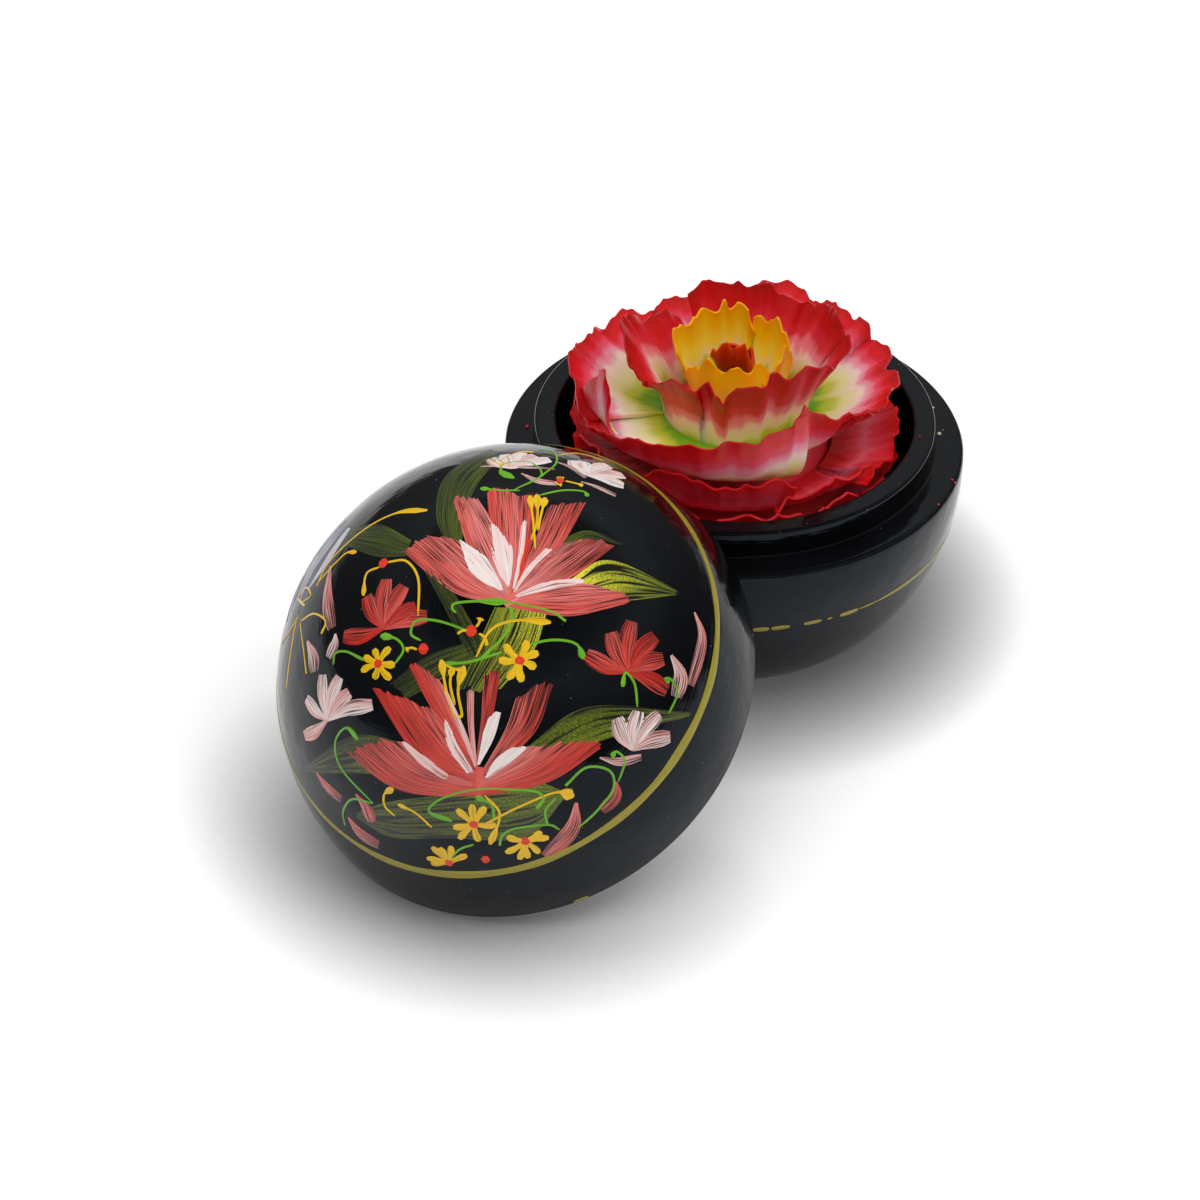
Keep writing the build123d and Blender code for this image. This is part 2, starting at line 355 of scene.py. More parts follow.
skin = add_node(
    tree,
    "ShaderNodeBump",
    {"Height": peel.outputs[0], "Strength": 1.0, "Distance": PEEL_DEPTH * MM, "Normal": lines.outputs[0]},
)
dust = add_node(tree, "ShaderNodeTexVoronoi", {"Vector": spot, "Scale": 1 / (DUST_SPACING * MM)})
nib = add_node(tree, "ShaderNodeMapRange", {0: dust.outputs["Distance"], 1: 0.0, 2: 0.05, 3: 1.0, 4: 0.0})
skin = add_node(
    tree,
    "ShaderNodeBump",
    {"Height": nib.outputs[0], "Strength": 0.8, "Distance": NIB_HEIGHT * MM, "Normal": skin.outputs[0]},
)
# The nibs' pale blue-grey is partly the dust's own colour and partly a painted glint on each nib.
nib_glint_share = add_node(tree, "ShaderNodeMath", {0: nib.outputs[0], 1: 0.6}, operation="MULTIPLY")
dust_and_painted_glint = add_node(
    tree, "ShaderNodeMix", {0: nib_glint_share.outputs[0], 6: tone.outputs[0], 7: srgb("#a3a7aa")}, data_type="RGBA"
)
coat = add_node(
    tree,
    "ShaderNodeBsdfPrincipled",
    {
        "Base Color": dust_and_painted_glint.outputs[2],
        "Roughness": rough.outputs[0],
        "IOR": LACQUER_IOR,
        "Specular Tint": srgb("#d2e2f4"),
        "Normal": skin.outputs[0],
    },
)
add_node(tree, "ShaderNodeOutputMaterial", {0: coat.outputs[0]})

foot_centre = math.sqrt((BALL_RADIUS - FOOT_ROUND) ** 2 - (BALL_CENTRE - FOOT_ROUND) ** 2)
foot_angle = math.degrees(math.atan2(FOOT_ROUND - BALL_CENTRE, foot_centre))
ledge_rise = LEDGE_HEIGHT - LEDGE_ROUND - BALL_CENTRE
ledge_centre = math.sqrt((BALL_RADIUS - LEDGE_ROUND) ** 2 - ledge_rise**2)
ledge_angle = math.degrees(math.atan2(ledge_rise, ledge_centre))
ring_foot = RING_RADIUS + RING_FOOT_ROUND
ring_low, ring_high = LEDGE_HEIGHT + RING_FOOT_ROUND, RING_TOP - RING_ROUND
ring_inner, ring_outer = BORE_RADIUS + RING_ROUND, RING_RADIUS - RING_ROUND
hollow_centre = BOWL_FLOOR + HOLLOW_ROUND
bowl_outline = np.concatenate(
    [
        line((0, 0), (foot_centre - EDGE_STEP, 0), 8),
        arc((foot_centre, FOOT_ROUND), FOOT_ROUND, -90, foot_angle, 5),
        arc((0, BALL_CENTRE), BALL_RADIUS, foot_angle, ledge_angle, 60),
        arc((ledge_centre, LEDGE_HEIGHT - LEDGE_ROUND), LEDGE_ROUND, ledge_angle, 90, 9),
        line((ledge_centre - EDGE_STEP, LEDGE_HEIGHT), (ring_foot + EDGE_STEP, LEDGE_HEIGHT), 7),
        arc((ring_foot, ring_low), RING_FOOT_ROUND, 270, 180, 6),
        line((RING_RADIUS, ring_low + EDGE_STEP), (RING_RADIUS, ring_high - EDGE_STEP), 7),
        arc((ring_outer, ring_high), RING_ROUND, 0, 90, 8),
        line((ring_outer - EDGE_STEP, RING_TOP), (ring_inner + EDGE_STEP, RING_TOP), 5),
        arc((ring_inner, ring_high), RING_ROUND, 90, 180, 8),
        line((BORE_RADIUS, ring_high - EDGE_STEP), (BORE_RADIUS, hollow_centre + EDGE_STEP), 14),
        arc((BORE_RADIUS - HOLLOW_ROUND, hollow_centre), HOLLOW_ROUND, 0, -90, 24),
        line((BORE_RADIUS - HOLLOW_ROUND - EDGE_STEP, BOWL_FLOOR), (0, BOWL_FLOOR), 6),
    ]
)
corners, faces, distance = lathe(bowl_outline, LACQUER_UNEVEN)
bowl = make_piece(
    "bowl_turned", corners, faces, lacquer, "bowl", {"outline_mm": distance}
)
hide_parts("bowl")

# The lid
# The upper half, turned from one block, hollowed, with a recess in its lip that fits over the raised ring.
# It leans with its lip on the table and on the ring. The same black lacquer covers it inside and out. Its
# outside is a hair smaller than the bowl's, which leaves room for the coats of paint.

LID_RADIUS = 54.85
LID_INNER_RADIUS = 47.0
LID_BORE_RADIUS = 48.3
LID_RECESS = 7.3
LID_CHAMFER = 0.4
LID_MOUTH = np.array([-49.871, -71.755, 28.773])
LEAN_ANGLE = math.radians(32.1)
LEAN_DIRECTION = math.radians(-124.8)

lid_axes = np.array(
    [
        [
            math.cos(LEAN_ANGLE) * math.cos(LEAN_DIRECTION),
            math.cos(LEAN_ANGLE) * math.sin(LEAN_DIRECTION),
            -math.sin(LEAN_ANGLE),
        ],
        [-math.sin(LEAN_DIRECTION), math.cos(LEAN_DIRECTION), 0.0],
        [
            math.sin(LEAN_ANGLE) * math.cos(LEAN_DIRECTION),
            math.sin(LEAN_ANGLE) * math.sin(LEAN_DIRECTION),
            math.cos(LEAN_ANGLE),
        ],
    ]
)
shoulder_angle = math.degrees(math.asin(LID_RECESS / LID_INNER_RADIUS))
shoulder_radius = math.sqrt(LID_INNER_RADIUS**2 - LID_RECESS**2)
recess_edge = LID_RECESS - EDGE_STEP / 4
bore_edge = LID_BORE_RADIUS - EDGE_STEP / 4
lip_angle = math.degrees(math.asin((LEDGE_ROUND + EDGE_STEP) / LID_RADIUS))
lid_outline = np.concatenate(
    [
        arc((0, 0), LID_INNER_RADIUS, 90, shoulder_angle, 50),
        line((shoulder_radius + EDGE_STEP / 2, LID_RECESS), (bore_edge, LID_RECESS), 3),
        line((LID_BORE_RADIUS, recess_edge), (LID_BORE_RADIUS, LID_CHAMFER), 8),
        line((LID_BORE_RADIUS + LID_CHAMFER, 0), (LID_RADIUS - LEDGE_ROUND, 0), 5),
        arc((LID_RADIUS - LEDGE_ROUND, LEDGE_ROUND), LEDGE_ROUND, -90, 0, 9),
        arc((0, 0), LID_RADIUS, lip_angle, 90, 84),
    ]
)
lid_outline[0, 0] = 0.0
lid_outline[-1, 0] = 0.0
corners, faces, distance = lathe(lid_outline, LACQUER_UNEVEN)
lid = make_piece(
    "lid_turned",
    corners @ lid_axes + LID_MOUTH,
    faces,
    lacquer,
    "lid",
    {"outline_mm": distance},
)
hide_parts("lid")

# The painting on the lid
# Flowers and leaves in enamel, painted free-hand on the lacquer with a flat brush loaded with two colours, in
# the way of folk lacquerware. Each stroke is a thin raised skin of paint. Its places are in mm on the dome,
# measured from the middle of the painted side. That middle, its right and its up are directions on the lid.

PAINT_MIDDLE = np.array([0.18977, 0.46206, 0.86631])
PAINT_RIGHT = np.array([-0.48835, 0.80987, -0.32499])
PAINT_UP = np.array([-0.85176, -0.36139, 0.37934])
PAINT_SINK = 0.03
PAINT_RIDGE = 0.012
PAINT_EDGE = 0.4
STREAK_STRETCH = 0.016
STREAK_DEPTH = 0.04
GAP_FINENESS = 1.9
GRAINS_PER_MM = 4.5
BARE_LEVEL = 0.60
BARE_SHARPNESS = 7.0


def on_dome(flat, height):
    """Flat places in mm round the middle of the painting, as corners at a height over the dome."""
    far = np.linalg.norm(flat, axis=-1, keepdims=True)
    bend = far / BALL_RADIUS
    side = (flat[..., :1] * PAINT_RIGHT + flat[..., 1:] * PAINT_UP) / np.maximum(far, 1e-9)
    outwards = np.cos(bend) * PAINT_MIDDLE + np.sin(bend) * side
    return (outwards * (LID_RADIUS + height)) @ lid_axes + LID_MOUTH


def smooth_line(points, count):
    """Places spread along a smooth line through the given ones."""
    given = np.array(points, float)
    framed = np.vstack([2 * given[0] - given[1], given, 2 * given[-1] - given[-2]])
    spot = np.linspace(0, len(given) - 1, count)
    index = np.minimum(spot.astype(int), len(given) - 2)
    part = (spot - index)[:, None]
    a, b, c, d = framed[index], framed[index + 1], framed[index + 2], framed[index + 3]
    bend = 2 * a - 5 * b + 4 * c - d
    twist = 3 * b - a - 3 * c + d
    return 0.5 * (2 * b + (c - a) * part + bend * part**2 + twist * part**3)


def shell_faces(rows, columns, start):
    """Faces of a closed thin shell: an upper sheet, a lower sheet right after it, and the four sides."""
    faces = []
    lower = start + rows * columns
    for row in range(rows - 1):
        for column in range(columns - 1):
            corner = start + row * columns + column
            faces.append((corner, corner + 1, corner + columns + 1, corner + columns))
            under = lower + row * columns + column
            faces.append((under, under + columns, under + columns + 1, under + 1))
    border = [column for column in range(columns)]
    border += [row * columns + columns - 1 for row in range(1, rows)]
    border += [(rows - 1) * columns + column for column in range(columns - 2, -1, -1)]
    border += [row * columns for row in range(rows - 2, 0, -1)]
    for here, after in zip(border, border[1:] + border[:1]):
        faces.append((start + here, lower + here, lower + after, start + after))
    return faces


def new_paint():
    """An empty coat of paint, to which strokes are added."""
    return {"corners": [], "faces": [], "map": [], "load": [], "dry": [], "count": 0}


def add_patch(paint, left, right, lift, load, dry, dice, rows=22, columns=16, ragged=0, bulge=0, peak=0.5):
    """A brush mark between two edges that run from its foot to its tip. The load of colour goes from the left
    edge to the right one, and the tip bulges and frays."""
    across = np.linspace(0, 1, columns)
    left_line = smooth_line(left, rows)
    right_line = smooth_line(right, rows)
    flat = left_line[:, None] * (1 - across[None, :, None]) + right_line[:, None] * across[None, :, None]
    ahead = flat[-1] - flat[-4]
    ahead /= np.maximum(np.linalg.norm(ahead, axis=1)[:, None], 1e-9)
    frays = dice.normal(size=columns)
    frays = np.repeat(frays[::2], 2)[:columns] * 0.7 + frays * 0.3
    reach = bulge * np.sin(np.pi * across ** (math.log(0.5) / math.log(peak))) + ragged * frays
    growth = np.linspace(0, 1, rows)[:, None, None] ** 3
    flat = flat + growth * (reach[:, None] * ahead)[None]
    ridges = PAINT_RIDGE * dice.normal(size=columns)[None, :]
    height = np.full((rows, columns), lift) + ridges
    height[[0, -1], :] = lift * PAINT_EDGE
    height[:, [0, -1]] = lift * PAINT_EDGE
    top = on_dome(flat, height[..., None])
    bottom = on_dome(flat, np.full((rows, columns, 1), -PAINT_SINK))
    paint["faces"] += shell_faces(rows, columns, paint["count"])
    lengths = np.linalg.norm(np.diff(flat, axis=0), axis=2).mean(1)
    travelled = np.concatenate([[0.0], np.cumsum(lengths)])
    width = np.linalg.norm(flat[-3, -1] - flat[-3, 0])
    shift = dice.uniform(0, 400, size=2)
    aside, along = across[None, :] * width + shift[0], travelled[:, None] + shift[1]
    marks = np.stack(np.broadcast_arrays(aside, along), 2)
    tip = np.linspace(0, 1, rows)[:, None]
    loads = load[0] + (load[1] - load[0]) * across[None, :] + load[2] * (1 - tip)
    dryness = dry * (0.4 + 0.6 * tip) + 0 * across[None, :]
    for sheet in (top, bottom):
        paint["corners"].append(sheet.reshape(-1, 3))
        paint["map"].append(marks.reshape(-1, 2))
        paint["load"].append(loads.ravel())
        paint["dry"].append(dryness.ravel())
    paint["count"] += 2 * rows * columns


def add_stroke(paint, path, widths, lift, load, dry, dice, rows=16, columns=6):
    """A brush mark along a path, with its half widths from foot to tip."""
    middle = smooth_line(path, rows)
    ahead = np.gradient(middle, axis=0)
    ahead /= np.linalg.norm(ahead, axis=1)[:, None]
    aside = np.stack([-ahead[:, 1], ahead[:, 0]], 1)
    half = np.interp(np.linspace(0, 1, rows), np.linspace(0, 1, len(widths)), widths)[:, None]
    left, right = middle + aside * half, middle - aside * half
    add_patch(paint, left, right, lift, load, dry, dice, rows, columns)


def finish_paint(paint, name, material):
    """Makes one piece of all the strokes in a coat of paint."""
    values = {"load": np.concatenate(paint["load"]), "dry": np.concatenate(paint["dry"])}
    return make_piece(
        name,
        np.concatenate(paint["corners"]),
        paint["faces"],
        material,
        "lid",
        values,
        np.concatenate(paint["map"]),
        closed=True,
    )


def enamel(name, stops, streak_size, streak_share, bare, roughness, grain_share=0.0):
    """Enamel paint that dried in brush streaks: a ramp from the brush's first colour to its second, with
    streaks of a real width in mm, and bare lacquer showing where the brush ran dry. Its IOR is a little below
    the usual 1.5, because the thin coat shines less."""
    material, tree = new_material(name)
    marks = add_node(tree, "ShaderNodeUVMap", uv_map="stroke_mm")
    fine = add_node(
        tree,
        "ShaderNodeVectorMath",
        {0: marks.outputs[0], 1: (1 / streak_size, STREAK_STRETCH / streak_size, 1.0)},
        operation="MULTIPLY",
    )
    streak = add_node(tree, "ShaderNodeTexNoise", {"Vector": fine.outputs[0], "Scale": 1.0, "Detail": 3.0})
    gaps = add_node(
        tree, "ShaderNodeTexNoise", {"Vector": fine.outputs[0], "Scale": GAP_FINENESS, "Detail": 1.0}
    )
    grain = add_node(
        tree, "ShaderNodeTexNoise", {"Vector": marks.outputs[0], "Scale": GRAINS_PER_MM, "Detail": 1.0}
    )
    load = add_node(tree, "ShaderNodeAttribute", attribute_name="load")
    dry = add_node(tree, "ShaderNodeAttribute", attribute_name="dry")
    centred = add_node(tree, "ShaderNodeMath", {0: streak.outputs[0], 1: 0.5}, operation="SUBTRACT")
    mixed = add_node(
        tree,
        "ShaderNodeMath",
        {0: centred.outputs[0], 1: streak_share, 2: load.outputs["Fac"]},
        operation="MULTIPLY_ADD",
    )
    centred = add_node(tree, "ShaderNodeMath", {0: grain.outputs[0], 1: 0.5}, operation="SUBTRACT")
    mixed = add_node(
        tree,
        "ShaderNodeMath",
        {0: centred.outputs[0], 1: grain_share, 2: mixed.outputs[0]},
        operation="MULTIPLY_ADD",
    )
    colour = add_node(tree, "ShaderNodeValToRGB", {0: mixed.outputs[0]}, stops=stops)
    thin = add_node(tree, "ShaderNodeMath", {0: gaps.outputs[0], 1: dry.outputs["Fac"]}, operation="ADD")
    thin = add_node(tree, "ShaderNodeMath", {0: thin.outputs[0], 1: BARE_LEVEL}, operation="SUBTRACT")
    gap = add_node(
        tree, "ShaderNodeMath", {0: thin.outputs[0], 1: BARE_SHARPNESS}, operation="MULTIPLY", use_clamp=True
    )
    shown = add_node(
        tree,
        "ShaderNodeMix",
        {0: gap.outputs[0], 6: colour.outputs[0], 7: srgb(bare)},
        data_type="RGBA",
    )
    ridge = add_node(
        tree, "ShaderNodeBump", {"Height": streak.outputs[0], "Strength": 0.8, "Distance": STREAK_DEPTH * MM}
    )
    skin = add_node(
        tree,
        "ShaderNodeBsdfPrincipled",
        {
            "Base Color": shown.outputs[2],
            "Roughness": roughness,
            "IOR": 1.38,
            "Coat Weight": 0.2,
            "Coat Roughness": 0.1,
            "Normal": ridge.outputs[0],
        },
    )
    add_node(tree, "ShaderNodeOutputMaterial", {0: skin.outputs[0]})
    return material


# Leaves: olive enamel brushed on thin, with gold dust on it towards the middle of the bunch. The dust is
# finer than the render can show, so its grains are drawn about 0.2 mm wide.
leaf_enamel = enamel(
    "olive_enamel_with_gold_dust",
    ((0.0, "#0e120a"), (0.28, "#2f3a10"), (0.52, "#56640f"), (0.75, "#868c10"), (1.0, "#dcd23a")),
    0.5,
    0.38,
    "#0c0e0a",
    0.42,
    0.95,
)
leaves = new_paint()
dice = np.random.default_rng(11)
# Each leaf: its left and right edges from foot to tip, and how much gold it has at the left, at the right and
# more at the foot.
for left, right, load in (
    (
        ((-15.5, 30.0), (-20.6, 41.5), (-20.0, 57.0), (-9.5, 71.0)),
        ((-13.5, 31.0), (-13.2, 40.5), (-11.0, 51.0), (-5.3, 64.1)),
        (0.34, 0.42, 0.0),
    ),
    (
        ((-26.1, 34.8), (-37.0, 42.1), (-50.3, 44.8)),
        ((-27.1, 30.5), (-35.6, 31.8), (-47.2, 37.8)),
        (0.36, 0.30, 0.0),
    ),
    (
        ((-24.5, 30.2), (-17.7, 18.9), (-10.8, 5.6)),
        ((-15.6, 22.2), (-10.9, 14.2), (-6.5, 6.6)),
        (0.22, 0.34, 0.0),
    ),
    (
        ((-5.6, 16.9), (-8.7, 9.8), (-13.3, -0.7)),
        ((5.7, 16.3), (2.9, 7.6), (-4.4, -0.7)),
        (0.52, 0.72, 0.15),
    ),
    (
        ((-9.1, 9.8), (-19.5, 6.8), (-28.6, 0.8)),
        ((-7.6, 6.6), (-17.2, 1.4), (-24.5, -2.7)),
        (0.25, 0.38, 0.1),
    ),
    (
        ((10.4, 23.2), (20.1, 28.7), (37.0, 22.9)),
        ((14.9, 18.7), (24.2, 19.2), (36.8, 21.6)),
        (0.52, 0.45, 0.55),
    ),
    (
        ((8.8, 33.1), (15.5, 36.3), (23.6, 33.6)),
        ((9.8, 31.5), (15.8, 34.1), (23.5, 33.0)),
        (0.35, 0.35, 0.0),
    ),
    (
        ((1.0, -12.9), (14.5, -4.3), (39.7, -6.0)),
        ((5.0, -15.5), (21.3, -10.5), (39.2, -6.9)),
        (0.42, 0.58, 0.0),
    ),
    (
        ((-25.8, -12.3), (-40.1, -11.7), (-60.3, -23.0)),
        ((-26.2, -19.7), (-41.2, -21.0), (-60.6, -23.7)),
        (0.30, 0.40, 0.0),
    ),
    (
        ((9.0, -22.6), (2.0, -20.7), (-15.7, -23.8), (-31.0, -27.0), (-41.0, -31.5)),
        ((9.4, -24.6), (1.0, -34.0), (-16.4, -35.0), (-32.0, -37.0), (-41.5, -33.4)),
        (0.40, 0.28, 0.2),
    ),
):
    add_patch(leaves, left, right, 0.02, load, 0.20, dice, 26, 20, ragged=0.5)
finish_paint(leaves, "lid_leaves", leaf_enamel)

# Blossoms: a flat brush loaded with red on one side and white on the other, pressed at the tip of each petal
# and drawn to the middle of the blossom, so that its hairs leave streaks of both colours.
petal_enamel = enamel(
    "two_colour_blossom_enamel",
    (
        (0.0, "#6d1110"), (0.20, "#c02318"), (0.40, "#d64a3e"), (0.60, "#dc7670"), (0.80, "#e6b3ae"),
        (1.0, "#ece0dc"),
    ),
    0.36,
    0.62,
    "#2a0b0c",
    0.36,
)
blossoms = new_paint()
PETAL_LIFT = 0.035
PETAL_STEP = 0.002
# Each petal: its edges from foot to tip, how far its tip bulges and where, the white in its load of paint at
# the left, at the right and more at the foot, and how dry the brush ran.
for left, right, bulge, peak, load, dry in (
    (
        ((-2.6, 17.3), (-15.0, 20.6), (-28.1, 32.0)),
        ((-2.6, 19.1), (-7.5, 25.9), (-14.7, 33.7)),
        3.0, 0.6, (0.42, 0.56, 0.06), 0.15,
    ),
    (
        ((-2.8, 19.1), (-10.9, 29.0), (-17.0, 46.2)),
        ((-2.4, 19.6), (-3.6, 31.6), (-10.4, 45.4)),
        1.2, 0.3, (0.46, 0.62, 0.1), 0.12,
    ),
    (
        ((-2.0, 19.6), (4.1, 27.8), (10.6, 32.9)),
        ((-1.1, 19.1), (11.1, 23.9), (21.5, 32.5)),
        2.0, 0.5, (0.60, 0.42, 0.1), 0.2,
    ),
    (
        ((-2.0, 19.8), (2.2, 30.3), (6.1, 42.5)),
        ((-1.3, 20.0), (8.9, 31.5), (15.8, 45.0)),
        0.6, 0.7, (0.48, 0.36, 0.1), 0.18,
    ),
    (
        ((-2.4, 19.8), (-0.9, 31.6), (-0.8, 45.6)),
        ((-1.8, 19.8), (2.4, 31.6), (4.6, 46.4)),
        0.6, 0.5, (0.50, 0.30, 0.0), 0.2,
    ),
    (
        ((-2.6, 19.6), (-6.6, 33.0), (-8.4, 47.6)),
        ((-2.0, 19.8), (0.2, 32.9), (-0.3, 45.6)),
        2.4, 0.45, (0.36, 0.52, 0.1), 0.12,
    ),
    (
        ((-2.0, 19.1), (8.4, 22.6), (16.9, 22.3)),
        ((-3.4, 16.9), (10.4, 15.0), (23.9, 18.5)),
        2.4, 0.6, (0.60, 0.42, 0.0), 0.15,
    ),
    (
        ((-9.5, -18.2), (-18.4, -6.0), (-24.3, 4.3)),
        ((-9.0, -17.8), (-12.5, -8.1), (-16.8, 0.8)),
        1.8, 0.3, (0.24, 0.52, 0.08), 0.1,
    ),
    (
        ((-9.3, -21.2), (-22.6, -15.4), (-33.2, -0.7)),
        ((-8.9, -20.0), (-13.0, -12.4), (-18.2, -5.4)),
        1.2, 0.3, (0.24, 0.52, 0.05), 0.12,
    ),
    (
        ((-7.9, -23.9), (-27.6, -23.7), (-41.7, -15.8)),
        ((-9.3, -20.7), (-19.4, -17.7), (-26.0, -12.4)),
        2.2, 0.6, (0.30, 0.50, 0.05), 0.15,
    ),
    (
        ((-10.3, -16.7), (-11.2, -8.1), (-11.4, -1.3)),
        ((-9.4, -16.7), (-9.9, -8.1), (-9.9, -1.1)),
        0.4, 0.5, (0.66, 0.72, 0.0), 0.1,
    ),
    (
        ((-9.7, -16.7), (-8.4, -5.9), (-7.8, 2.4)),
        ((-9.0, -16.7), (-5.9, -5.9), (-4.2, 3.3)),
        0.8, 0.5, (0.40, 0.24, 0.1), 0.2,
    ),
    (
        ((-8.8, -18.9), (-3.4, -9.1), (-1.1, -2.4)),
        ((-8.0, -19.1), (2.5, -10.1), (6.8, 0.5)),
        0.8, 0.6, (0.50, 0.30, 0.1), 0.22,
    ),
    (
        ((-8.9, -20.5), (-2.4, -15.9), (1.4, -12.5)),
        ((-9.0, -24.0), (6.1, -20.5), (17.5, -13.0)),
        2.0, 0.7, (0.62, 0.24, 0.0), 0.12,
    ),
):
    lift = PETAL_LIFT + PETAL_STEP * len(blossoms["load"]) / 2
    add_patch(blossoms, left, right, lift, load, dry, dice, 28, 30, 0.45, bulge, peak)
add_stroke(
    blossoms, ((-3.6, 17.4), (-2.0, 18.6), (-0.4, 19.6)), (0.9, 1.5, 0.9), 0.06, (0.5, 0.6, 0.0), 0.0, dice
)
add_stroke(
    blossoms,
    ((-9.9, -22.6), (-9.2, -20.0), (-8.8, -17.2)),
    (0.9, 1.4, 0.9),
    0.06,
    (0.4, 0.5, 0.0),
    0.0,
    dice,
)
# White marks on the petals, one press of the brush each: the two edges and the load of white.
for left, right, load in (
    (((-3.9, 20.3), (-10.7, 24.4), (-14.1, 33.1)), ((-3.7, 20.7), (-7.1, 27.9), (-13.7, 33.4)), 0.98),
    (((-3.0, 21.2), (-6.2, 27.9), (-7.4, 38.6)), ((-2.4, 21.2), (-1.8, 30.3), (-4.8, 35.6)), 0.92),
    (((-2.0, 20.7), (-0.9, 27.8), (0.0, 37.8)), ((-1.5, 20.7), (0.4, 27.8), (1.3, 38.4)), 0.9),
    (((-1.8, 20.2), (1.1, 25.8), (5.5, 30.9)), ((-1.3, 20.2), (2.4, 25.4), (6.9, 30.6)), 0.88),
    (((-1.8, 19.3), (5.1, 22.6), (12.9, 23.8)), ((-1.5, 18.9), (5.8, 20.7), (13.5, 22.6)), 0.92),
    (
        ((-16.4, -20.5), (-22.2, -17.4), (-26.3, -12.8)),
        ((-15.0, -19.8), (-19.8, -15.9), (-25.3, -12.3)),
        0.86,
    ),
    (
        ((-11.5, -19.2), (-15.5, -13.5), (-16.6, -7.9)),
        ((-10.1, -18.3), (-13.0, -13.0), (-15.7, -7.3)),
        0.92,
    ),
    (((-9.7, -17.8), (-13.4, -9.2), (-16.6, -0.7)), ((-9.2, -17.6), (-11.7, -9.6), (-15.7, -0.7)), 0.82),
    (((-9.4, -16.7), (-8.3, -10.2), (-6.7, -6.1)), ((-8.8, -16.7), (-5.7, -10.8), (-4.2, -5.5)), 1.05),
    (((-7.8, -19.6), (-5.6, -15.5), (-2.0, -12.7)), ((-7.4, -20.0), (-2.4, -16.6), (1.4, -13.1)), 1.05),
):
    add_patch(blossoms, left, right, 0.07, (load, load, 0.0), 0.0, dice, 18, 10, 0.12, 0.5)
finish_paint(blossoms, "lid_blossoms", petal_enamel)

# Small blossoms and single petals: one press of a round brush each, red, or white over pink.
small_petals = new_paint()
# Each blossom: its heart, its petals' tips, a petal's half width, its load of white and how dry the brush
# ran. PRESS is the share of the half width from a petal's foot to its tip.
PRESS = (0.18, 0.5, 0.85, 1.08, 1.05, 0.75)
for heart, tips, width, load, dry in (
    (
        (-31.0, 13.0),
        ((-36.5, 21.3), (-31.4, 25.0), (-26.5, 22.8), (-23.2, 17.6), (-20.5, 15.2), (-42.3, 11.8)),
        1.9, 0.22, 0.16,
    ),
    (
        (23.1, 3.1),
        ((13.7, 6.7), (19.4, 11.7), (24.4, 14.4), (30.1, 11.3), (32.0, 6.1), (32.9, -1.0)),
        1.9, 0.20, 0.2,
    ),
    (
        (-47.3, -8.3),
        ((-55.3, -3.1), (-48.8, 2.9), (-43.0, 2.3), (-39.9, -1.4), (-33.5, -4.1), (-57.4, -13.2)),
        1.7, 0.76, 0.1,
    ),
    ((24.5, -14.0), ((20.6, -6.8), (25.7, -5.4), (30.9, -6.1), (34.0, -11.5)), 1.8, 0.76, 0.15),
    ((-2.4, 57.2), ((-8.6, 63.3), (-4.5, 65.4), (0.3, 66.7), (3.9, 64.7), (7.9, 62.6)), 2.0, 0.82, 0.05),
    ((17.7, 56.1), ((14.5, 63.5), (17.8, 64.0), (25.8, 65.1), (29.4, 60.5), (27.8, 54.5)), 2.2, 0.86, 0.05),
):
    for number, tip in enumerate(tips):
        shade = load + (0.10 if number == 1 else 0.05 * (-1) ** number)
        middle = 0.5 * (np.array(heart) + tip) + 0.06 * np.array([heart[1] - tip[1], tip[0] - heart[0]])
        widths = [width * share for share in PRESS]
        add_stroke(
            small_petals, (heart, middle, tip), widths, 0.05, (shade, shade + 0.18, 0.0), dry, dice, 18, 10
        )
# Single petals and sepals: the brush's path, its half width and its load of white.
for path, width, load in (
    (((-51.4, 32.5), (-49.5, 22.1), (-46.5, 14.2)), 2.0, 0.62),
    (((-45.0, 12.8), (-45.1, 10.1), (-46.9, 7.0)), 1.5, 0.82),
    (((-55.8, 11.9), (-53.0, 7.8), (-51.9, 3.7)), 2.0, 0.74),
    (((41.8, 17.9), (43.5, 11.1), (39.3, 0.3)), 1.5, 0.62),
    (((34.1, 7.1), (36.5, 2.4), (35.3, -2.4)), 2.0, 0.74),
    (((-54.1, -22.7), (-50.8, -26.1), (-45.8, -28.8)), 1.5, 0.48),
    (((-40.3, -26.3), (-37.8, -29.5), (-36.8, -33.5)), 1.7, 0.48),
    (((-44.7, -33.8), (-41.8, -38.1), (-36.3, -40.5)), 2.0, 0.52),
    (((12.2, -25.6), (11.4, -32.3), (5.7, -39.5)), 2.0, 0.50),
    (((21.1, -21.1), (21.2, -24.7), (18.1, -27.9)), 1.5, 0.40),
    (((17.0, -15.4), (21.6, -16.5), (26.8, -15.7)), 1.0, 0.72),
    (((-11.0, 59.1), (-1.1, 58.1), (8.9, 57.2)), 0.7, 0.72),
    (((0.0, 54.8), (4.0, 51.9), (9.0, 51.1)), 1.0, 0.70),
    (((9.3, 61.6), (13.2, 59.5), (17.0, 54.9)), 0.7, 0.76),
    (((15.4, 52.8), (19.8, 51.3), (24.4, 49.2)), 0.7, 0.76),
):
    widths = [width * share for share in PRESS]
    add_stroke(small_petals, path, widths, 0.05, (load, load + 0.15, 0.0), 0.22, dice, 18, 10)
finish_paint(small_petals, "lid_small_blossoms", petal_enamel)

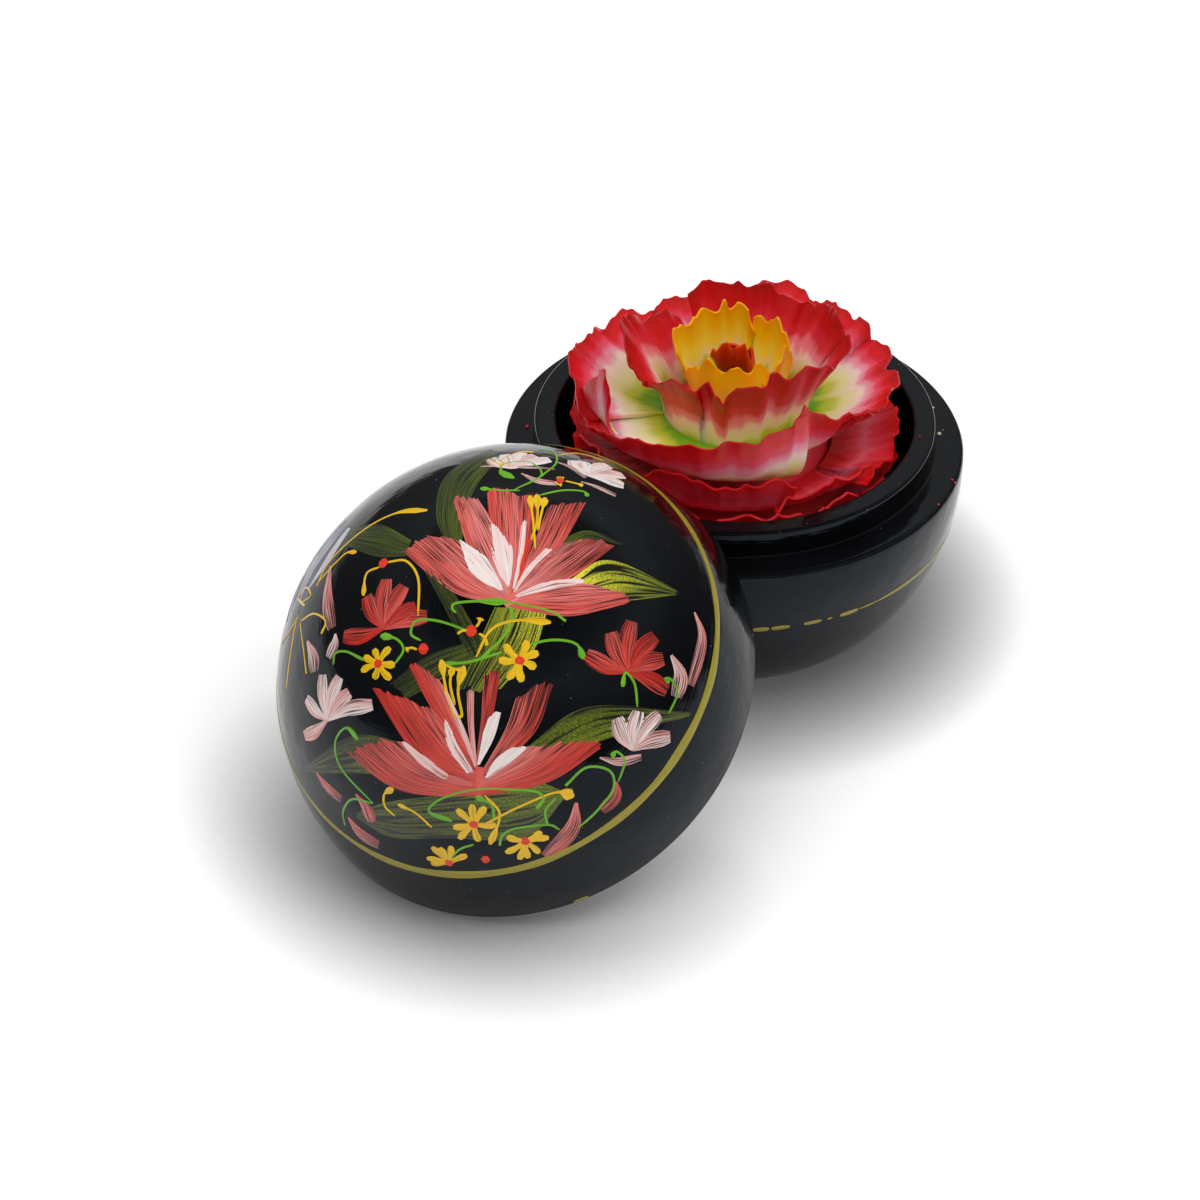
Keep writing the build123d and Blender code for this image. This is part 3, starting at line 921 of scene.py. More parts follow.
# A violet and white blossom on the far left, half round the dome.
violet_enamel = enamel(
    "violet_blossom_enamel",
    ((0.0, "#39345e"), (0.4, "#6f6a94"), (0.75, "#b9b3c4"), (1.0, "#dcd6d6")),
    0.42,
    0.6,
    "#14131c",
    0.36,
)
violet = new_paint()
for path, width, load in (
    (((-60.1, 27.6), (-54.4, 34.4), (-48.6, 44.8)), 1.5, 0.85),
    (((-71.2, 23.1), (-67.7, 40.2), (-54.2, 51.3)), 2.2, 0.35),
    (((-73.9, 20.4), (-75.7, 28.7), (-73.1, 37.3)), 1.8, 0.3),
    (((-64.2, 20.1), (-62.7, 32.2), (-52.2, 46.3)), 1.4, 0.5),
):
    widths = [width * share for share in PRESS]
    add_stroke(violet, path, widths, 0.05, (load, load + 0.1, 0.0), 0.1, dice, 20, 10)
finish_paint(violet, "lid_violet_blossom", violet_enamel)

# Tendrils, stamens, daisies and dots: thick enamel let run from a fine round brush, so that a line is thin
# and ends in a drop. It dries smooth and shiny. Each line has its path and the half width of its drop.
yellow_enamel = enamel(
    "yellow_enamel", ((0.0, "#b88a00"), (0.5, "#e2b306"), (1.0, "#f0cc2a")), 0.9, 0.5, "#8c6a00", 0.22
)
green_enamel = enamel(
    "green_enamel", ((0.0, "#3d7a12"), (0.5, "#5fa51a"), (1.0, "#8fc53a")), 0.9, 0.5, "#2c5a0c", 0.22
)
red_enamel = enamel(
    "red_enamel", ((0.0, "#b3200f"), (0.5, "#dd3418"), (1.0, "#ec5a34")), 0.9, 0.5, "#7c140a", 0.22
)
LINE_START = 0.12
LINE_HALF = 0.28
LINE_END = 0.3
THICK_LOAD = (0.5, 0.6, 0.0)


def add_line(paint, path, drop, evenly, lift):
    """A run line of even width that ends in a drop."""
    swelling = [max(LINE_HALF, 0.8 * drop), max(LINE_HALF, drop), LINE_END]
    widths = [LINE_START] + [LINE_HALF] * evenly + swelling
    add_stroke(paint, path, widths, lift, THICK_LOAD, 0.0, dice, 36, 5)


green_lines = new_paint()
for path, drop in (
    (((-14.0, 15.8), (-14.9, 16.9), (-14.1, 18.0), (-9.0, 18.3), (-3.0, 18.0)), 0.9),
    (((-5.2, 18.3), (0.0, 17.5), (6.3, 16.0), (9.5, 13.9)), 0.2),
    (((-21.7, 9.9), (-24.1, 11.5), (-23.0, 14.4), (-18.2, 14.2), (-12.1, 12.2)), 0.2),
    (((-45.1, 5.2), (-44.6, 7.9), (-41.1, 8.2), (-36.0, 6.1)), 0.4),
    (((-27.9, 4.8), (-25.8, 8.0), (-27.6, 10.5), (-31.7, 11.4)), 0.9),
    (((-35.4, -28.0), (-44.0, -20.0), (-45.1, -13.6), (-41.2, -9.7), (-37.8, -12.3)), 0.7),
    (((1.8, 8.9), (6.9, 9.8), (11.6, 9.0), (13.2, 5.8)), 0.8),
    (((-4.6, -22.2), (2.3, -22.5), (4.9, -24.1), (3.4, -26.7)), 0.5),
    (((12.8, -32.1), (17.1, -27.8), (20.5, -22.7), (19.4, -18.5), (14.1, -17.5), (9.6, -21.5)), 0.2),
    (((25.4, -4.5), (24.7, 0.5), (22.6, 2.9), (21.9, -0.1)), 0.6),
    (((33.3, -6.2), (35.6, -1.5), (33.7, 1.7), (32.4, 1.0)), 0.9),
    (((21.6, -21.1), (22.8, -16.4), (20.8, -14.2), (19.7, -15.3)), 0.7),
    (((-0.3, -22.2), (-9.6, -22.3), (-17.5, -24.8), (-20.9, -28.3), (-15.6, -30.4)), 0.7),
    (((8.7, -32.2), (5.9, -30.8), (-1.2, -31.7), (-4.1, -33.5), (-4.9, -36.3)), 0.2),
    (((7.7, -24.2), (5.4, -27.3), (5.9, -30.8)), 0.3),
    (((-0.3, 48.0), (-5.2, 48.2), (-10.2, 49.3)), 0.8),
    (((4.1, 46.3), (10.3, 48.6), (15.5, 48.9), (16.6, 47.2)), 0.7),
    (((-2.0, 48.0), (5.1, 54.1), (2.4, 60.3), (-4.3, 59.8), (-5.2, 55.9), (-1.8, 52.7)), 1.2),
    (((5.0, 69.7), (9.5, 68.0), (9.4, 60.5), (5.1, 53.7)), 0.2),
    (((-35.4, -28.0), (-41.9, -28.0), (-46.1, -32.4), (-46.9, -37.0)), 0.2),
    (((-10.9, -36.3), (-14.3, -38.0), (-17.0, -41.3)), 0.3),
    (((-3.8, 7.2), (-10.8, 5.2), (-16.2, 4.8)), 0.5),
    (((-3.0, 17.8), (-1.9, 15.1), (-3.4, 10.8), (-8.6, 5.6)), 0.4),
    (((-6.1, -30.0), (-6.4, -26.0), (-9.9, -24.0)), 0.8),
):
    add_line(green_lines, path, drop, 9, 0.09)
finish_paint(green_lines, "lid_green_tendrils", green_enamel)

yellow_lines = new_paint()
for path, drop in (
    (((-13.6, 11.2), (-12.4, 11.9), (-11.2, 11.8)), 0.5),
    (((-9.6, 12.6), (-9.0, 13.4), (-8.6, 14.6)), 0.9),
    (((-8.9, 11.2), (-7.6, 10.2), (-7.2, 8.6)), 0.4),
    (((-22.6, 8.0), (-24.0, 8.4), (-25.2, 7.9)), 0.7),
    (((11.2, 52.4), (13.6, 51.9), (15.8, 51.3)), 0.8),
    (((8.6, 51.8), (9.2, 50.9), (10.2, 50.6)), 0.7),
    (((9.0, 53.2), (9.9, 53.8), (11.0, 53.4)), 0.6),
    (((-55.7, 27.1), (-52.8, 33.9), (-41.9, 41.5), (-32.1, 44.6), (-23.2, 43.5)), 0.9),
    (((-56.0, 27.8), (-49.5, 32.9), (-45.9, 35.1), (-42.2, 34.4)), 0.7),
    (((-33.8, 28.5), (-37.4, 27.2), (-37.4, 21.5)), 0.7),
    (((-22.6, 15.5), (-23.2, 24.2), (-26.7, 29.1), (-31.5, 29.5)), 0.2),
    (((-9.5, 6.2), (-6.2, 12.1), (-0.5, 14.0), (6.3, 13.6)), 0.9),
    (((-9.2, -31.4), (-1.2, -26.7), (7.3, -23.0), (11.6, -24.0)), 1.5),
    (((-29.7, -30.6), (-32.1, -28.3), (-31.9, -25.2), (-29.3, -23.4)), 0.9),
    (((-20.5, -32.5), (-24.1, -29.1), (-28.5, -27.3)), 0.6),
    (((-62.2, 20.1), (-67.0, 16.5), (-75.1, 13.1)), 0.2),
    (((-60.8, 17.8), (-57.4, 10.2), (-55.3, 3.3)), 0.2),
    (((-63.5, 18.6), (-64.6, 8.9), (-66.5, -0.6)), 0.2),
    (((-60.3, 18.0), (-54.5, 19.1), (-49.1, 16.5), (-50.1, 13.2)), 0.4),
    (((-63.1, 23.7), (-57.8, 24.9), (-61.8, 28.4), (-66.2, 26.4), (-60.1, 22.4)), 0.4),
    (((10.5, 65.8), (17.5, 70.5), (25.2, 68.9)), 0.4),
    (((-7.9, -23.7), (-4.7, -28.2), (-7.1, -36.1)), 0.9),
    (((3.1, 30.6), (2.7, 38.4), (2.1, 46.3)), 0.9),
    (((2.2, 32.9), (3.7, 38.4), (3.8, 46.7)), 1.1),
    (((3.8, 35.6), (4.6, 39.9), (5.8, 45.7)), 1.0),
    (((-13.8, -7.2), (-15.9, -0.7), (-17.0, 5.7)), 0.9),
    (((-13.6, -6.2), (-12.5, -6.0), (-13.3, -0.7), (-12.0, 4.3)), 1.0),
    (((-14.0, -3.9), (-15.0, 0.4), (-14.6, 3.9)), 0.8),
    (((-16.6, 5.0), (-14.6, 3.9), (-12.7, 3.5)), 0.5),
    (((-8.6, 62.5), (-6.8, 60.4), (-5.0, 58.8)), 0.7),
    (((-2.0, 58.4), (-5.6, 61.4), (-1.0, 66.6), (3.6, 67.3)), 0.5),
    (((16.0, 62.0), (16.6, 60.0)), 0.5),
):
    add_line(yellow_lines, path, drop, 8, 0.095)
# Each daisy: its heart, how many petals and how long, the turn of the first and the turn they fill.
DAISY_PRESS = (0.5, 0.6, 0.65, 0.85, 0.9, 0.45)
DAISIES = (
    ((-32.0, 5.1), 7, 4.4, 0.0, 6.283),
    ((-0.3, 5.5), 7, 4.6, 0.4, 6.283),
    ((-10.6, -30.9), 7, 5.2, 0.1, 5.6),
    ((-17.3, -42.3), 6, 5.4, 0.7, 3.4),
    ((1.0, -35.1), 7, 5.4, 3.0, 4.6),
)
for heart, count, reach, first, span in DAISIES:
    for number in range(count):
        turn = first + span * number / count + dice.uniform(-0.16, 0.16)
        length = reach * dice.uniform(0.78, 1.1)
        out = np.array([math.cos(turn), math.sin(turn)])
        start = np.array(heart) + 0.4 * out
        end = np.array(heart) + length * out
        bent = 0.5 * (start + end) + dice.uniform(-0.35, 0.35) * np.array([-out[1], out[0]])
        add_stroke(yellow_lines, (start, bent, end), DAISY_PRESS, 0.09, THICK_LOAD, 0.0, dice, 10, 5)
finish_paint(yellow_lines, "lid_yellow_lines", yellow_enamel)

red_dots = new_paint()
ROUND = (0.02, 0.6, 0.85, 0.98, 1.0, 0.98, 0.85, 0.6, 0.02)
HEART_DOT = 1.15
dots = [(daisy[0], HEART_DOT) for daisy in DAISIES]
dots += [
    ((-32.9, 29.4), 1.3), ((-10.6, 11.8), 1.25), ((-21.1, 8.1), 1.2), ((9.9, 52.4), 1.0),
    ((-8.3, -40.5), 1.1),
]
for spot, radius in dots:
    ends = (np.array(spot) - (radius, 0), np.array(spot) + (radius, 0))
    widths = [radius * share for share in ROUND]
    add_stroke(red_dots, ends, widths, 0.105, (0.5, 0.5, 0.0), 0.0, dice, 13, 9)
stamen = ((-0.6, 23.0), (0.3, 27.8), (1.5, 33.6))
add_stroke(red_dots, stamen, (0.3, 0.6, 0.6, 0.4), 0.085, (0.5, 0.4, 0.0), 0.0, dice)
finish_paint(red_dots, "lid_red_dots", red_enamel)

# The gold lines
# One line round the lid and one round the bowl, painted in olive gold while the piece turned. On one side of
# the bowl the brush ran dry and left dashes, and a drop of the paint fell on the lid's lip.

# Bronze-powder paint in varnish: it looks dull olive in soft light, with fine streaks along the line.
gold = enamel(
    "olive_gold_paint", ((0.0, "#756808"), (0.5, "#95881a"), (1.0, "#bdb23a")), 0.25, 0.8, "#4a400e", 0.30
)
LID_LINE_RADIUS = 51.5
LID_LINE_WIDTH = 2.0
BOWL_LINE_HEIGHT = 30.7
LINE_LIFT = 0.09
LINE_RIM = 0.02
LINE_SINK = 0.06


def band(radius_in, middle_angle, width, start, end, steps, centre_shift, tapered):
    """A painted band round a ball of the box's size, as a closed thin shell in the ball's frame."""
    turn = np.linspace(start, end, steps)
    reach = width * (0.5 + 0.06 * np.sin(5 * turn) + 0.05 * np.sin(17 * turn + 1))
    if tapered:
        reach = reach * np.clip(np.sin(np.pi * np.linspace(0.01, 0.99, steps)), 0, 1) ** 0.22
    wander = 0.12 * np.sin(3 * turn + 0.7) + 0.06 * np.sin(11 * turn)
    across = np.linspace(-1, 1, 5)
    polar = middle_angle + (wander[:, None] + reach[:, None] * across[None]) / BALL_RADIUS
    thick = np.where(np.abs(across) > 0.9, LINE_RIM, LINE_LIFT)[None, :] + 0 * polar
    sheets = []
    for radius in (radius_in + thick, radius_in - LINE_SINK + 0 * thick):
        sheets.append(
            np.stack(
                [
                    radius * np.sin(polar) * np.cos(turn)[:, None],
                    radius * np.sin(polar) * np.sin(turn)[:, None],
                    radius * np.cos(polar) + centre_shift,
                ],
                2,
            ).reshape(-1, 3)
        )
    marks = np.stack(np.broadcast_arrays(across[None] * width / 2, (turn * LID_LINE_RADIUS)[:, None]), 2)
    return np.concatenate(sheets), np.concatenate([marks.reshape(-1, 2)] * 2)


RING_STEPS = 421
DROP_STEPS = 14
lid_line_angle = math.asin(LID_LINE_RADIUS / BALL_RADIUS)
corners, marks = band(LID_RADIUS, lid_line_angle, LID_LINE_WIDTH, 0, 2 * math.pi, RING_STEPS, 0.0, False)
drop_start, drop_end = math.radians(44.4), math.radians(48.0)
blot, blot_marks = band(LID_RADIUS, math.radians(88.3), 0.9, drop_start, drop_end, DROP_STEPS, 0.0, True)
faces = shell_faces(RING_STEPS, 5, 0) + shell_faces(DROP_STEPS, 5, len(corners))
corners = np.concatenate([corners, blot])
marks = np.concatenate([marks, blot_marks])
make_piece(
    "lid_gold_line",
    corners @ lid_axes + LID_MOUTH,
    faces,
    gold,
    "lid",
    {"load": np.full(len(corners), 0.5), "dry": np.full(len(corners), 0.0)},
    marks,
    closed=True,
)
bowl_line_angle = math.acos((BOWL_LINE_HEIGHT - BALL_CENTRE) / BALL_RADIUS)
parts, maps, faces, count = [], [], [], 0
# Each stretch of the bowl's line: where it starts and ends in degrees, and its width.
for start, end, width in (
    (-86.9, -82.8, 1.5),
    (-82.2, -77.6, 1.4),
    (-74.0, -69.4, 1.3),
    (-67.8, -66.4, 0.6),
    (-64.3, -59.0, 1.2),
    (-58.6, -51.5, 0.5),
    (-52.0, 252.0, 1.6),
):
    steps = max(12, int(abs(end - start)))
    corners, marks = band(
        BALL_RADIUS, bowl_line_angle, width, math.radians(start), math.radians(end), steps, BALL_CENTRE, True
    )
    parts.append(corners)
    maps.append(marks)
    faces += shell_faces(steps, 5, count)
    count += len(corners)
corners = np.concatenate(parts)
make_piece(
    "bowl_gold_line",
    corners,
    faces,
    gold,
    "bowl",
    {"load": np.full(len(corners), 0.5), "dry": np.full(len(corners), 0.0)},
    np.concatenate(maps),
    closed=True,
)

# The soap flower
# One cake of toilet soap, dyed so that the colour is deepest at the outside, with petals cut free by a knife
# and bent outwards. The cake's core stands on the bowl's floor. A petal's cut edge is given by places: the
# degrees round the flower, the radius and the height over the bowl's ledge.

CAKE_BASE_RADIUS = 16.9
CAKE_RADIUS = 31.4
CAKE_SIDE_HEIGHT = 29.0
TIP_THICKNESS = 0.55
ROOT_THICKNESS = 2.2

# Toilet soap is a soft waxy solid that light enters and scatters in. Its dye runs from the cut edge to the
# root in cloudy streaks, and the knife leaves shallow dents.
SOAP_CLOUD = 11.11
SOAP_DENT = 1.6667
DENT_DEPTH = 0.04
KNIFE_DEPTH = 0.15


def soap(name, stops, reach_mm, mottle):
    """Dyed soap: colour goes by the distance from the cut edge in mm, with soft streaks down the petal, and
    light scatters in it. The knife leaves it smooth, with a waxy shine."""
    material, tree = new_material(name)
    place = add_node(tree, "ShaderNodeTexCoord")
    depth = add_node(tree, "ShaderNodeAttribute", attribute_name="from_edge")
    side = add_node(tree, "ShaderNodeAttribute", attribute_name="round_mm")
    streak_place = add_node(
        tree, "ShaderNodeCombineXYZ", {0: side.outputs["Fac"], 1: depth.outputs["Fac"], 2: 0.0}
    )
    squeezed = add_node(
        tree, "ShaderNodeVectorMath", {0: streak_place.outputs[0], 1: (0.20, 0.05, 1.0)}, operation="MULTIPLY"
    )
    streak = add_node(
        tree, "ShaderNodeTexNoise", {"Vector": squeezed.outputs[0], "Scale": 1.0, "Detail": 2.0}
    )
    spot = place.outputs["Object"]
    cloud = add_node(
        tree, "ShaderNodeTexNoise", {"Vector": spot, "Scale": 1 / (SOAP_CLOUD * MM), "Detail": 2.0}
    )
    both = add_node(tree, "ShaderNodeMath", {0: streak.outputs[0], 1: cloud.outputs[0]}, operation="ADD")
    centred = add_node(tree, "ShaderNodeMath", {0: both.outputs[0], 1: 1.0}, operation="SUBTRACT")
    wander = add_node(
        tree,
        "ShaderNodeMath",
        {0: centred.outputs[0], 1: mottle, 2: depth.outputs["Fac"]},
        operation="MULTIPLY_ADD",
    )
    share = add_node(tree, "ShaderNodeMath", {0: wander.outputs[0], 1: reach_mm}, operation="DIVIDE")
    colour = add_node(tree, "ShaderNodeValToRGB", {0: share.outputs[0]}, stops=stops)
    colour.color_ramp.interpolation = "EASE"
    skin = add_node(
        tree,
        "ShaderNodeTexNoise",
        {"Vector": spot, "Scale": 1 / (SOAP_DENT * MM), "Detail": 2.0},
    )
    dents = add_node(
        tree, "ShaderNodeBump", {"Height": skin.outputs[0], "Strength": 0.6, "Distance": DENT_DEPTH * MM}
    )
    knife = add_node(
        tree,
        "ShaderNodeBump",
        {
            "Height": streak.outputs[0],
            "Strength": 0.6,
            "Distance": KNIFE_DEPTH * MM,
            "Normal": dents.outputs[0],
        },
    )
    wax = add_node(
        tree,
        "ShaderNodeBsdfPrincipled",
        {
            "Base Color": colour.outputs[0],
            "Roughness": 0.38,
            "IOR": 1.46,
            "Subsurface Weight": 0.6,
            "Subsurface Radius": (1.0, 0.35, 0.22),
            "Subsurface Scale": 0.003,
            "Normal": knife.outputs[0],
        },
    )
    add_node(tree, "ShaderNodeOutputMaterial", {0: wax.outputs[0]})
    return material


red_soap = soap(
    "red_to_cream_dyed_soap",
    (
        (0.0, "#b20d12"),
        (0.13, "#cf1a22"),
        (0.25, "#e04a62"),
        (0.37, "#f098ab"),
        (0.49, "#f8dccc"),
        (0.68, "#ece6a4"),
        (0.86, "#c4d23c"),
        (1.0, "#78b41c"),
    ),
    21.0,
    6.0,
)
tall_soap = soap(
    "dark_red_to_green_dyed_soap",
    (
        (0.0, "#a40408"),
        (0.18, "#bc0a10"),
        (0.36, "#d02a3c"),
        (0.50, "#e88492"),
        (0.62, "#f4dac8"),
        (0.74, "#e8e4a4"),
        (0.88, "#c4d23c"),
        (1.0, "#78b41c"),
    ),
    22.0,
    6.0,
)
deep_soap = soap(
    "deep_red_dyed_soap",
    ((0.0, "#d01419"), (0.3, "#e43448"), (0.55, "#ec6478"), (0.8, "#dc3444"), (1.0, "#c01822")),
    14.0,
    8.0,
)
yellow_soap = soap(
    "yellow_dyed_soap",
    (
        (0.0, "#ffa800"), (0.22, "#ffc404"), (0.5, "#fcd83c"), (0.7, "#f0d888"), (0.85, "#b6c62c"),
        (1.0, "#66a818"),
    ),
    16.0,
    4.0,
)
heart_soap = soap(
    "orange_dyed_soap",
    ((0.0, "#cc3c0c"), (0.25, "#ae210b"), (0.6, "#8c1008"), (1.0, "#6e0707")),
    9.0,
    2.0,
)


def petal_sheet(edge, root, belly, ripple, dice, columns=64, rows=22, root_span=0.8, knife_marks=1.0):
    """A petal as a closed shell. It runs from its cut edge down over its belly to its root, each of those
    two at a (radius, height over the ledge). It ripples more the nearer it comes to the edge."""
    given = np.array(edge, float)
    given[:, 0] = np.degrees(np.unwrap(np.radians(given[:, 0])))
    fine = smooth_line(given, 200)
    turns = np.radians(fine[:, 0])
    flat = np.stack([fine[:, 1] * np.cos(turns), fine[:, 1] * np.sin(turns), fine[:, 2]], 1)
    far = np.concatenate([[0.0], np.cumsum(np.linalg.norm(np.diff(flat, axis=0), axis=1))])
    spots = np.linspace(0, far[-1], columns)
    tip = np.stack([np.interp(spots, far, fine[:, index]) for index in range(3)], 1)
    nicks = np.zeros(columns)
    spot = 0.0
    while spot < far[-1]:
        width = dice.uniform(2.2, 8.0)
        depth = knife_marks * min(1.9, dice.uniform(0.16, 0.36) * width)
        lean = dice.uniform(0.5, 1.9)
        share = np.clip((spots - spot) / width, 0, 1)
        nicks = np.maximum(nicks, depth * np.sin(np.pi * share**lean))
        spot += width
    tip[:, 2] -= nicks
    middle = 0.5 * (tip[0, 0] + tip[-1, 0])
    foot = middle + (tip[:, 0] - middle) * root_span
    part = np.linspace(0, 1, rows)[:, None]
    waves = np.sin(spots * 0.55 + dice.uniform(0, 6)) + 0.4 * np.sin(spots * 1.3 + dice.uniform(0, 6))
    controls = []
    for index, low, mid in ((1, root[0], belly[0]), (2, root[1], belly[1])):
        end = tip[:, index]
        bent = 2 * mid - 0.5 * (low + end)
        controls.append((1 - part) ** 2 * low + 2 * part * (1 - part) * bent[None] + part**2 * end[None])
    radius, height = controls
    radius = radius + ripple * part**2 * waves[None]
    turn = np.radians(foot[None] + (tip[:, 0] - foot)[None] * part**0.8)
    sheet = np.stack([radius * np.cos(turn), radius * np.sin(turn), height + LEDGE_HEIGHT], 2)
    normal = np.cross(np.gradient(sheet, axis=1), np.gradient(sheet, axis=0))
    normal /= np.maximum(np.linalg.norm(normal, axis=2, keepdims=True), 1e-9)
    thick = (ROOT_THICKNESS + (TIP_THICKNESS - ROOT_THICKNESS) * part**0.7)[..., None] / 2
    lengths = np.linalg.norm(np.diff(sheet, axis=0), axis=2)
    from_root = np.concatenate([np.zeros((1, columns)), np.cumsum(lengths, axis=0)])
    from_edge = from_root[-1:] - from_root
    around = np.broadcast_to(spots[None] + dice.uniform(0, 300), from_edge.shape)
    inside, outside = sheet + normal * thick, sheet - normal * thick
    corners = np.concatenate([inside.reshape(-1, 3), outside.reshape(-1, 3)])
    return corners, rows, columns, np.tile(from_edge.ravel(), 2), np.tile(around.ravel(), 2)


def make_petals(name, petals, material):
    """One row of petals as one piece."""
    corners, faces, depths, arounds, count = [], [], [], [], 0
    for petal in petals:
        points, rows, columns, depth, around = petal
        faces += shell_faces(rows, columns, count)
        count += len(points)
        corners.append(points)
        depths.append(depth)
        arounds.append(around)
    values = {"from_edge": np.concatenate(depths), "round_mm": np.concatenate(arounds)}
    corners = np.concatenate(corners)
    return make_piece(name, corners, faces, material, "flower", values, closed=True)


dice = np.random.default_rng(5)
core_outline = np.concatenate(
    [
        line((0, BOWL_FLOOR), (CAKE_BASE_RADIUS - 0.8, BOWL_FLOOR), 5),
        smooth_line(
            [
                (CAKE_BASE_RADIUS, BOWL_FLOOR + 0.5),
                (26.0, 15.0),
                (CAKE_RADIUS, CAKE_SIDE_HEIGHT),
                (29.5, 39.0),
                (24.0, 44.5),
                (17.0, 55.0),
                (9.5, 57.0),
                (6.0, 60.0),
                (0.0, 61.5),
            ],
            60,
        ),
    ]
)
core_outline[-1, 0] = 0.0
corners, faces, distance = lathe(core_outline, 0.0)
core = make_piece(
    "soap_core",
    corners,
    faces,
    deep_soap,
    "flower",
    {"from_edge": np.clip(60.0 - corners[:, 2], 0, 40), "round_mm": distance},
)
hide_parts("soap_flower")

heart_edges = (
    (
        (192, 6.4, 24.5), (203, 6.2, 28.6), (212, 5.6, 27.2), (222, 5.0, 29.4), (238, 4.6, 29.8),
        (258, 4.2, 28.0),
    ),
    ((256, 4.0, 27.8), (268, 4.4, 29.6), (286, 4.6, 30.6), (300, 4.4, 28.2), (325, 4.2, 24.0)),
    ((-30, 3.6, 23.0), (20, 3.6, 25.6), (60, 3.4, 24.0)),
    ((70, 3.2, 24.0), (110, 3.4, 25.6), (150, 3.8, 25.0), (190, 4.0, 23.5)),
)
make_petals(
    "soap_heart",
    [petal_sheet(edge, (2.6, 13.0), (3.8, 20.0), 0.1, dice, 24, 14, 0.9, 0.8) for edge in heart_edges],
    heart_soap,
)

yellow_edges = (
    (
        (194, 14.6, 26.0), (188, 14.8, 29.0), (179, 14.6, 31.0), (165, 13.2, 30.5), (145, 12.2, 29.9),
        (130, 12.0, 30.9), (112, 12.0, 30.2), (102, 12.0, 32.1), (96, 12.0, 30.5), (79, 12.0, 30.6),
        (73, 12.0, 27.5), (66, 12.0, 24.0),
    ),
    (
        (70, 13.0, 26.5), (61, 13.0, 28.4), (53, 13.0, 26.6), (45, 13.0, 28.6), (36, 13.0, 28.8),
        (28, 13.0, 27.0), (18, 13.0, 24.5),
    ),
    ((-2, 12.6, 22.0), (-16, 13.0, 26.5), (-29, 13.2, 31.2), (-44, 12.8, 27.6), (-62, 12.4, 22.0)),
    (
        (190, 12.6, 21.5), (204, 11.6, 24.0), (217, 11.0, 25.5), (233, 11.0, 29.0), (253, 11.0, 26.6),
        (267, 11.0, 27.8), (278, 11.0, 26.8), (300, 11.0, 28.2), (312, 11.4, 24.0),
    ),
)
make_petals(
    "soap_yellow_cup",
    [petal_sheet(edge, (8.0, 11.0), (11.2, 18.0), 0.25, dice, 72, 20, 0.9, 1.0) for edge in yellow_edges],
    yellow_soap,
)

tall_edges = (
    (
        (119, 23.0, 28.0), (116, 23.0, 29.6), (109, 23.0, 31.1), (95, 23.0, 29.4), (87, 23.0, 30.3),
        (79, 23.0, 28.6), (70, 23.0, 31.6), (59, 23.4, 27.8), (43, 24.0, 28.5), (30, 25.0, 30.2),
        (15, 25.0, 31.5), (4, 25.0, 30.0), (-5, 25.2, 27.0),
    ),
    (
        (124, 23.0, 21.0), (127, 23.0, 23.6), (140, 24.0, 26.4), (152, 25.0, 26.0), (160, 25.6, 29.8),
        (172, 26.8, 32.0), (181, 27.2, 31.6), (190, 25.8, 26.0), (202, 23.5, 21.0),
    ),
    (
        (197, 23.5, 20.0), (203, 23.0, 22.0), (212, 23.0, 24.2), (222, 23.0, 27.3), (236, 23.0, 28.4),
        (243, 22.6, 26.8), (246, 22.0, 24.0),
    ),
    (
        (241, 20.5, 24.0), (242, 20.6, 27.6), (250, 21.0, 28.8), (259, 21.0, 24.6), (263, 21.4, 27.6),
        (274, 22.0, 29.6), (286, 22.2, 29.7), (289, 22.4, 33.0), (298, 22.6, 31.0), (310, 23.4, 32.4),
        (325, 24.4, 30.4), (333, 25.0, 28.6), (345, 26.0, 29.0), (357, 26.2, 30.4), (364, 25.6, 26.0),
    ),
)
make_petals(
    "soap_tall_petals",
    [petal_sheet(edge, (16.4, 8.5), (18.6, 17.0), 0.35, dice, 110, 26, 0.96, 0.8) for edge in tall_edges],
    tall_soap,
)

